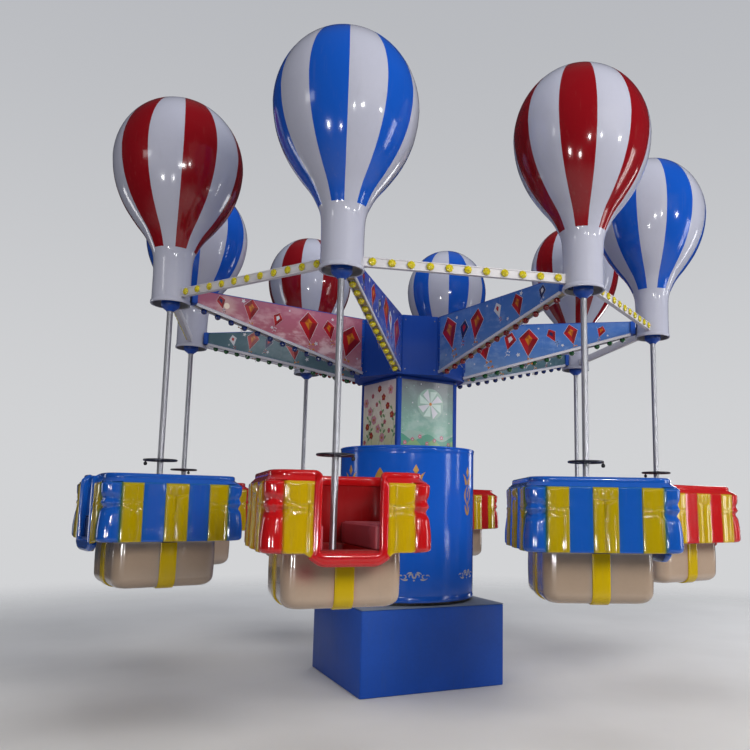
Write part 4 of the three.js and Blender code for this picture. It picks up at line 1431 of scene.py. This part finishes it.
# folds: u is the place along a side, s the way from the corner's middle, and t runs from top to hem
def gatherOut(u, t):
    seam = bell(t - 0.335 - 0.012 * math.cos(40 * u), 0.016)
    seam += 0.6 * bell(t - 0.43 - 0.01 * math.sin(35 * u), 0.014)
    tucks = math.cos(2 * math.pi * u / 0.027 + 2.2 * t) * bell(t - 0.37, 0.085)
    return 0.0028 * tucks - 0.0055 * seam


def outerBandOut(side, u, t):
    if side == 0:                               # beside the doorway the crease lies near the frame
        far = abs(u)
        crease = 0.283 + 0.002 * math.sin(11 * t)
        return (gatherOut(far, t) + 0.006 * bell(far - 0.352, 0.036) - 0.008 * bell(far - crease, 0.009)
                - 0.003 * bell(far - 0.414, 0.008) + 0.003 * bell(far - 0.259, 0.012))
    crease = (-0.298 if u < 0 else 0.384) + 0.002 * math.sin(9 * t + side)
    wide = -0.360 if u < 0 else 0.315
    out = 0.006 * bell(u - wide, 0.036) - (0.003 + 0.007 * ease((t - 0.3) / 0.2)) * bell(u - crease, 0.009)
    out += gatherOut(u, t)
    if u > 0:
        out += 0.004 * bell(u - 0.322 - 0.22 * (t - 0.33), 0.011) * bell(t - 0.46, 0.13)
    return out


def centreBandOut(u, t):
    low = ease((t - 0.17) / 0.1)
    crease = -0.013 + 0.003 * math.sin(8 * t)
    lobes = 0.008 * bell(u - 0.037, 0.028) + 0.008 * bell(u + 0.052, 0.024)
    lines = 0.013 * bell(u - crease, 0.009) + 0.006 * bell(u - 0.062, 0.007) * ease((t - 0.25) / 0.2)
    knot = 0.005 * bell(t - 0.09, 0.07) * (1 + math.cos(2 * math.pi * (u + 0.02 * t) / 0.05))
    tie = 0.009 * bell(t - 0.205 - 0.02 * math.cos(u * 40), 0.017) * bell(u, 0.07)
    return (lobes - lines) * low + knot - tie


def skirtOut(station, t):
    kind, side, value = station
    band, inset = bandOf(station)
    s = cornerDistance(station)
    column = columnShare(station)
    near = 1 - ease((s - 0.1) / 0.16)
    first, second = 0.25 + 0.055 * ease(s / 0.16), 0.435 - 0.045 * ease(s / 0.16)
    narrow = 0.022 + 0.03 * column
    out = 0.012 * ease((t - 0.5) / 0.3) * (0.35 + 0.65 * column) - 0.002 * bell(t - 0.2, 0.15)
    out += 0.007 * bell(s, 0.06) - 0.005 * column * bell(t - 0.34, 0.16)
    out -= near * (0.004 + 0.010 * column) * bell(t - first, narrow)
    out -= near * (0.005 + 0.017 * column) * bell(t - second, narrow * 1.1)
    out += near * 0.003 * bell(t - (first + second) / 2, 0.03)
    out += 0.0028 * math.cos(s * 110) * column * bell(t - 0.36, 0.16)
    out *= 1 if t > 0.03 else 0.6 + 0.4 * ease(t / 0.03)
    if kind == "flat":
        border = skirt["flat"] - (skirt["doorEdge"] if side == 0 else skirt["edges"][2]) + 0.067
        out -= 0.006 * bell(s - border, 0.008)
    if band in ("outer", "centre"):
        out += skirt["proud"] * math.sqrt(ease(inset / 0.008)) * ease(t / 0.025)
    if band == "outer":
        out += outerBandOut(side, value, t) * ease(t / 0.06)
    elif band == "centre":
        out += centreBandOut(value, t)
    elif band == "plain":
        out += 0.0025 * math.sin(math.pi * min(inset / 0.08, 1))
    return out


# a row gives half side, corner radius, and the height and outward push at each station
def loftRows(bm, stations, rows, slotFor):
    reach, steady = skirt["flat"], skirt["steady"]
    grid = []
    for half, corner, high, out in rows:
        points = [stationPoint(st, half, corner, high(st), out(st), reach, steady) for st in stations]
        grid.append([bm.verts.new(point) for point in points])
    for j in range(len(rows)):
        k = (j + 1) % len(rows)
        for i in range(len(stations) - 1):
            face = bm.faces.new((grid[j][i], grid[j][i + 1], grid[k][i + 1], grid[k][i]))
            face.material_index = slotFor(j, i)
    for i in (0, len(stations) - 1):
        bm.faces.new([row[i] for row in grid])


def markOversprayAndShade(mesh, amount):
    layer = mesh.attributes.new("oversprayAndShade", "FLOAT", "POINT")
    for i, vertex in enumerate(mesh.vertices):
        layer.data[i].value = amount(vertex.co)


def skirtMesh():
    stations = skirtStations()
    half, top, low = skirt["half"], skirt["top"], skirt["low"]
    corner = half - skirt["flat"]

    def still(h, c, z):
        return (h, c, lambda st: z - sag(st, z), lambda st: 0.0)

    def sag(st, z):                             # the hem runs lower beside the door frame
        if st[0] == "arc" or st[1]:
            return 0.0
        return 0.024 * ease((0.3 - abs(st[2])) / 0.05) * ease((top - z) / (top - low)) ** 2

    def skin(heightOf, tuck):
        def high(st):
            return heightOf(st) - sag(st, heightOf(st))

        def out(st):
            return skirtOut(st, (top - heightOf(st)) / (top - low)) - tuck(st)

        return (half, corner, high, out)

    def topRound(st):
        return 0.007 + 0.013 * columnShare(st)

    def lowRound(st):
        return 0.006 + 0.022 * columnShare(st)

    lining = ((0.507, 1.402), (0.507, 1.55), (0.507, 1.7), (0.5, 1.77), (0.488, 1.82), (0.483, 1.85),
              (0.484, 1.875), (0.495, 1.88))
    rows = [still(h, 0.1, z) for h, z in lining]
    wallRows = len(rows) - 2
    rows += [still(0.507, 0.146, 1.8745), still(0.5125, 0.145, 1.868), still(0.5185, 0.138, 1.86),
             still(0.5255, 0.126, 1.852), still(0.532, 0.11, 1.8445), still(0.5365, 0.098, 1.839)]
    skinStart = len(rows)
    for k in range(5):
        a = math.pi / 2 * k / 4
        rows.append(skin(lambda st, a=a: top - topRound(st) * (1 - math.cos(a)),
                         lambda st, a=a: topRound(st) * (1 - math.sin(a))))
    steps = [0.02 * k for k in range(1, 8)] + [0.14 + 0.0165 * k for k in range(1, 23)]
    steps += [0.503 + 0.0415 * k for k in range(1, 12)]
    for t in steps:
        rows.append(skin(lambda st, t=t: top - topRound(st) - (top - low - topRound(st) - lowRound(st)) * t,
                         lambda st: 0.0))
    for k in range(5):
        a = math.pi / 2 * k / 4
        rows.append(skin(lambda st, a=a: low + lowRound(st) * (1 - math.sin(a)),
                         lambda st, a=a: lowRound(st) * (1 - math.cos(a))))
    hem = len(rows)
    rows += [still(0.52, 0.1, low + 0.006), still(0.51, 0.1, 1.397)]
    middles = []
    for a, b in zip(stations, stations[1:]):
        both = a[0] == b[0] == "flat" and a[1] == b[1]
        middles.append(bandOf(("flat", a[1], (a[2] + b[2]) / 2) if both else ("arc", 0, 0)))

    def slotFor(j, i):
        if j < wallRows or j >= hem:
            return 2
        return 1 if j >= skinStart and middles[i][0] in ("outer", "centre") else 0

    bm = bmesh.new()
    loftRows(bm, stations, rows, slotFor)
    mesh = finishMesh(bm, "skirt", [coats["gelRed"], coats["bandByRed"], coats["cabinRed"]], 50)

    # band, door and top edges of the skirt take the neighbouring colour: partly overspray, partly painted
    # shade and reflection
    def tintMark(p):
        side, u = max(abs(p.x), abs(p.y)), min(abs(p.x), abs(p.y))
        if p.z > top + 0.002 or side < 0.52:
            return 0.0
        if p.x > 0.52 and side == abs(p.x):
            return max(0.8 * bell(u - skirt["doorEdge"], 0.011), 0.55 * bell(u - skirt["door"], 0.014))
        centre, inner, outer = skirt["edges"]
        soft = 0.45 * max(bell(u - centre, 0.007), bell(u - inner, 0.007))
        return max(soft, 0.9 * bell(u - outer, 0.013), 0.5 * bell(p.z - top, 0.008))

    markOversprayAndShade(mesh, tintMark)
    return mesh


def tubRows():
    half, corner, low, rounding = (tub[k] for k in ("half", "corner", "low", "round"))
    rows = [(0.18, 0.05, low), (half - rounding - 0.03, corner * 0.6, low + 0.0005)]
    for k in range(9):
        a = math.pi / 2 * k / 8
        inset = rounding * (1 - math.sin(a))
        rows.append((half - inset, corner - inset * 0.35, low + rounding * (1 - math.cos(a))))
    for k in range(1, 9):
        z = low + rounding + (tub["eave"] - low - rounding) * k / 8
        rows.append((half + 0.003 * math.sin(math.pi * k / 9), corner, z))
    shelf = tub["shelf"]
    return rows + [(half + 0.001, corner, shelf - 0.0135), (half + 0.004, corner, shelf - 0.006),
                   (half + 0.012, corner, shelf - 0.0015), (half + 0.03, corner, shelf)]


def tubMesh():
    outer = tubRows()
    well = tub["well"]
    beigeRows = len(outer) - 1
    rows = outer + [(tub["shelfHalf"], 0.1, tub["shelf"]), (tub["shelfHalf"], 0.1, tub["sill"])]
    for grow, z in ((0.012, tub["sill"]), (0.004, tub["sill"] - 0.003), (0.0, tub["sill"] - 0.011),
                    (-0.002, tub["floor"] + 0.02), (-0.008, tub["floor"] + 0.006), (-0.02, tub["floor"])):
        rows.append(((well[0] + grow, well[1] + grow), 0.03, z))
    reach = tub["half"] - tub["corner"]
    places = [-reach + 2 * reach * k / 20 for k in range(21)]
    stations = []
    for side in range(4):
        stations += flatStations(side, places) + arcStations(side, 8)
    bm = bmesh.new()
    grid = [[bm.verts.new(stationPoint(st, half, corner, z, 0.0, reach)) for st in stations]
            for half, corner, z in rows]
    count = len(stations)
    for j in range(len(rows) - 1):
        for i in range(count):
            m = (i + 1) % count
            face = bm.faces.new((grid[j][i], grid[j][m], grid[j + 1][m], grid[j + 1][i]))
            face.material_index = 0 if j < beigeRows else 1
    for row, z, slot in ((grid[0], tub["low"], 0), (grid[-1], tub["floor"], 1)):
        middle = bm.verts.new((0, 0, z))
        for i in range(count):
            bm.faces.new((row[i], row[(i + 1) % count], middle)).material_index = slot
    mesh = finishMesh(bm, "giftTub", [coats["beigeByRed"], coats["cabinRed"]], 40)

    def tintMark(p):
        side, u = max(abs(p.x), abs(p.y)), min(abs(p.x), abs(p.y))
        if side < 0.3:
            return 0.0
        smudge = 0.0
        if p.x > 0.36:                          # red smudges on the doorway's side
            for share, y, wide, z, tall in tub["smudges"]:
                smudge += share * math.exp(-((p.y - y) / wide) ** 2 - ((p.z - z) / tall) ** 2)
        return min(smudge + 0.3 * bell(u - tub["ribbon"], 0.018) + 0.3 * bell(p.z - 1.375, 0.035), 1)

    markOversprayAndShade(mesh, tintMark)
    return mesh


def ribbonMesh():
    rows = [(h, z) for h, _, z in tubRows() if h > 0.25 and z < 1.376]
    path = [(-h, z) for h, z in rows[::-1]] + [(h, z) for h, z in rows]
    width, lift = tub["ribbon"], tub["ribbonLift"]
    across = [(-width, -0.003), (-width, 0.003), (-width + 0.0015, 0.0065), (-width + 0.006, lift)]
    across += [(width * f, lift + 0.0006) for f in (-0.6, -0.2, 0.2, 0.6)]
    across += [(-x, y) for x, y in across[3::-1]]
    bm = bmesh.new()
    for turn in (0, math.pi / 2):
        grid = []
        for i, (h, z) in enumerate(path):
            a, b = path[max(i - 1, 0)], path[min(i + 1, len(path) - 1)]
            along = Vector((b[0] - a[0], b[1] - a[1])).normalized()
            out = Vector((along.y, -along.x))
            row = []
            for x, y in across:
                spot = Vector((h, z)) + out * (y + (0.0008 if turn else 0))
                row.append(bm.verts.new(aroundCentre(turn) @ Vector((spot.x, x, spot.y))))
            grid.append(row)
        count = len(across)
        for j in range(len(path) - 1):
            for i in range(count):
                m = (i + 1) % count
                bm.faces.new((grid[j][i], grid[j][m], grid[j + 1][m], grid[j + 1][i]))
        for row in (grid[0], grid[-1]):
            bm.faces.new(row)
    return finishMesh(bm, "giftRibbon", [coats["ribbon"]], 50)


# rim and door frame are one moulding: a fat rounded lip, a shallow groove and a step towards the skirt;
# its section is given across (0 at the opening, 1 at the outer edge) and outwards (share of its depth)
rim = {
    "wall": 0.478, "corner": 0.115, "top": 1.905, "low": 1.832, "depth": 0.036, "tail": 0.506,
    "limbWall": 0.507, "limbDepth": 0.06, "opening": 0.19, "bend": 0.045, "bendHeight": 1.86,
    "sillTop": 1.387, "sillLow": 1.3, "sillTail": 0.548,
    "section": [(0.92, 0.0), (0.26, 0.0), (0.1, 0.07), (0.03, 0.26), (0.0, 0.5), (0.03, 0.75), (0.1, 0.92),
                (0.2, 0.99), (0.35, 1.0), (0.46, 0.99), (0.54, 0.97), (0.6, 0.955), (0.68, 0.945),
                (0.78, 0.94)],
}


# down the doorway's side and along its sill: opening edge, outer edge, wall, depth, where the outer edge ends
def limbPlaces():
    wall, depth, opening, bend, high = (rim[k] for k in ("limbWall", "limbDepth", "opening", "bend",
                                                         "bendHeight"))
    top, low, tail = rim["sillTop"], rim["sillLow"], rim["sillTail"]
    places = []
    for k in range(1, 9):
        a = math.pi / 2 * (1 - k / 8)
        blend = ease(k / 8)
        inner = (opening + bend * (1 - math.cos(a)), high + bend * math.sin(a))
        places.append((inner, (0.24, rim["low"]), rim["wall"] + (wall - rim["wall"]) * blend,
                       rim["depth"] + 0.022 * blend, rim["tail"] + 0.046 * blend))
    for k in range(1, 17):
        z = high - (high - 1.425) * k / 16
        places.append(((opening, z), (0.243, z - 0.028 + 0.008 * k / 16), wall, depth, 0.556))
    for inner, outer in (((0.19, 1.412), (0.246, 1.381)), ((0.189, 1.404), (0.258, 1.367)),
                         ((0.186, 1.397), (0.262, 1.354)), ((0.181, 1.391), (0.248, 1.34)),
                         ((0.175, 1.388), (0.222, 1.323)), ((0.168, top), (0.197, 1.309)),
                         ((0.158, top), (0.174, 1.302)), ((0.14, top), (0.145, low))):
        places.append((inner, outer, wall, depth, tail))
    return places + [((u, top), (u, low), wall, depth, tail) for u in (0.105, 0.07, 0.035)]


def rimRing(bm, wall, depth, tail, put):
    section = [(v, wall + depth * f) for v, f in rim["section"]]
    last = section[-1][1]
    section += [(0.86, last * 0.75 + tail * 0.25), (0.94, last * 0.3 + tail * 0.7), (1.0, tail),
                (1.01, tail - 0.012), (1.0, wall + 0.004)]
    return [bm.verts.new(put(v, x)) for v, x in section]


def rimMesh():
    bm = bmesh.new()
    rings = []
    wall, corner, top, low = (rim[k] for k in ("wall", "corner", "top", "low"))
    reach = wall - corner

    def limbRing(place, sign):
        inner, outer, limbWall, depth, tail = place
        a, b = Vector(inner), Vector(outer)

        def put(v, x):
            spot = a.lerp(b, v)
            return (x, sign * spot.x, spot.y)

        return rimRing(bm, limbWall, depth, tail, put)

    def rimAt(station):
        def put(v, x):
            return stationPoint(station, wall, corner, top + (low - top) * v, x - wall, reach, reach)

        return rimRing(bm, wall, rim["depth"], rim["tail"], put)

    limb = limbPlaces()
    rings += [limbRing(place, 1) for place in limb[::-1]]
    stations = flatStations(0, (0.24, 0.28, 0.32, reach)) + arcStations(0, 12)
    for side in (1, 2, 3):
        stations += flatStations(side, [reach * (k / 9 - 1) for k in range(19)]) + arcStations(side, 12)
    stations += flatStations(0, (-reach, -0.32, -0.28, -0.24))
    rings += [rimAt(station) for station in stations]
    rings += [limbRing(place, -1) for place in limb]
    top, low = rim["sillTop"], rim["sillLow"]
    middle = ((0.0, top), (0.0, low), rim["limbWall"], rim["limbDepth"], rim["sillTail"])
    rings.append(limbRing(middle, 1))
    count = len(rings[0])
    for j in range(len(rings)):
        a, b = rings[j], rings[(j + 1) % len(rings)]
        for i in range(count):
            m = (i + 1) % count
            bm.faces.new((a[i], a[m], b[m], b[i]))
    return finishMesh(bm, "rimFrame", [coats["gelRed"]], 60)


def benchMesh():
    half, corner, aisle = 0.509, 0.1, tub["well"][1]
    bm = bmesh.new()
    for side in (0, math.pi):
        outline = [(-half, aisle), (half, aisle)]
        for start in (0, 1):
            middle = (half - corner) * (1 - 2 * start)
            outline += [(middle + corner * math.cos(a), half - corner + corner * math.sin(a))
                        for a in [math.pi / 2 * (start + k / 8) for k in range(9)]]
        turn = aroundCentre(side)
        addPrism(bm, outline, tub["sill"] + 0.0005, tub["seat"] - 0.004, 0, turn, bevel=0.012, steps=4)
        pad = [(x * 0.95, aisle + 0.016 + (y - aisle) * 0.9) for x, y in outline]
        addPrism(bm, pad, tub["seat"] - 0.02, tub["seat"] + 0.003, 0, turn, bevel=0.008, steps=3)
    return finishMesh(bm, "benches", [coats["benchRed"]], 40)


def bearingMesh():
    floor = tub["floor"]
    bm = bmesh.new()
    profile = [(0.034, floor - 0.003), (0.118, floor - 0.003), (0.12, floor), (0.12, floor + 0.005),
               (0.117, floor + 0.008), (0.066, floor + 0.009), (0.06, floor + 0.014), (0.056, floor + 0.03),
               (0.052, floor + 0.033), (0.036, floor + 0.033), (0.034, floor + 0.03)]
    addLathe(bm, profile, 56, 0, closed=True)
    for k in range(8):
        a = math.pi / 4 * k + 0.2
        addBolt(bm, (0.095 * math.cos(a), 0.095 * math.sin(a), floor + 0.0085), (0, 0, 1), 0.0075, 1)
    return finishMesh(bm, "bearingCover", [coats["darkPaintAndShade"], coats["boltSteel"]], 40)


def makeGondolas():
    shapes = {"tub": tubMesh(), "ribbon": ribbonMesh(), "skirt": skirtMesh(), "rim": rimMesh(),
              "bench": benchMesh(), "bearing": bearingMesh()}
    for n in range(1, layout["arms"] + 1):
        matrix = poleSpot(n, math.radians(layout["doorways"][n - 1]))
        red = n % 2 == 1
        gel, band = (coats["gelRed"], coats["bandByRed"]) if red else (coats["gelBlue"], coats["bandByBlue"])
        cabin = coats["cabinRed" if red else "cabinBlue"]
        beige = coats["beigeByRed" if red else "beigeByBlue"]
        body, shell = f"gondola_{n}", "red_gelcoat" if red else "blue_gelcoat"
        putPiece(shapes["tub"], f"giftTub_{n}", body, matrix, [f"tub_{n}"], [beige, cabin])
        putPiece(shapes["ribbon"], f"giftRibbon_{n}", body, matrix, ())
        putPiece(shapes["skirt"], f"giftSkirt_{n}", body, matrix, [f"skirt_{n}"], [gel, band, cabin])
        putPiece(shapes["rim"], f"rimFrame_{n}", body, matrix, (), [gel])
        putPiece(shapes["bench"], f"benches_{n}", body, matrix, (),
                 [coats["benchRed" if red else "benchBlue"]])
        putPiece(shapes["bearing"], f"bearingCover_{n}", body, matrix, ())


makeGondolas()
print("gondolas made")

# parts of the lifting gear that stay as built, inside the drum and column
# the slewing ring's near-black paint is partly its own colour and partly painted shade under the hub
carried = {"guide_post": "stainless", "mast": "boltSteel", "slewing_ring": "darkPaintAndShade"}
for nodeName, coat in carried.items():
    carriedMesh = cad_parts[nodeName].data
    carriedMesh.materials.clear()
    carriedMesh.materials.append(coats[coat])
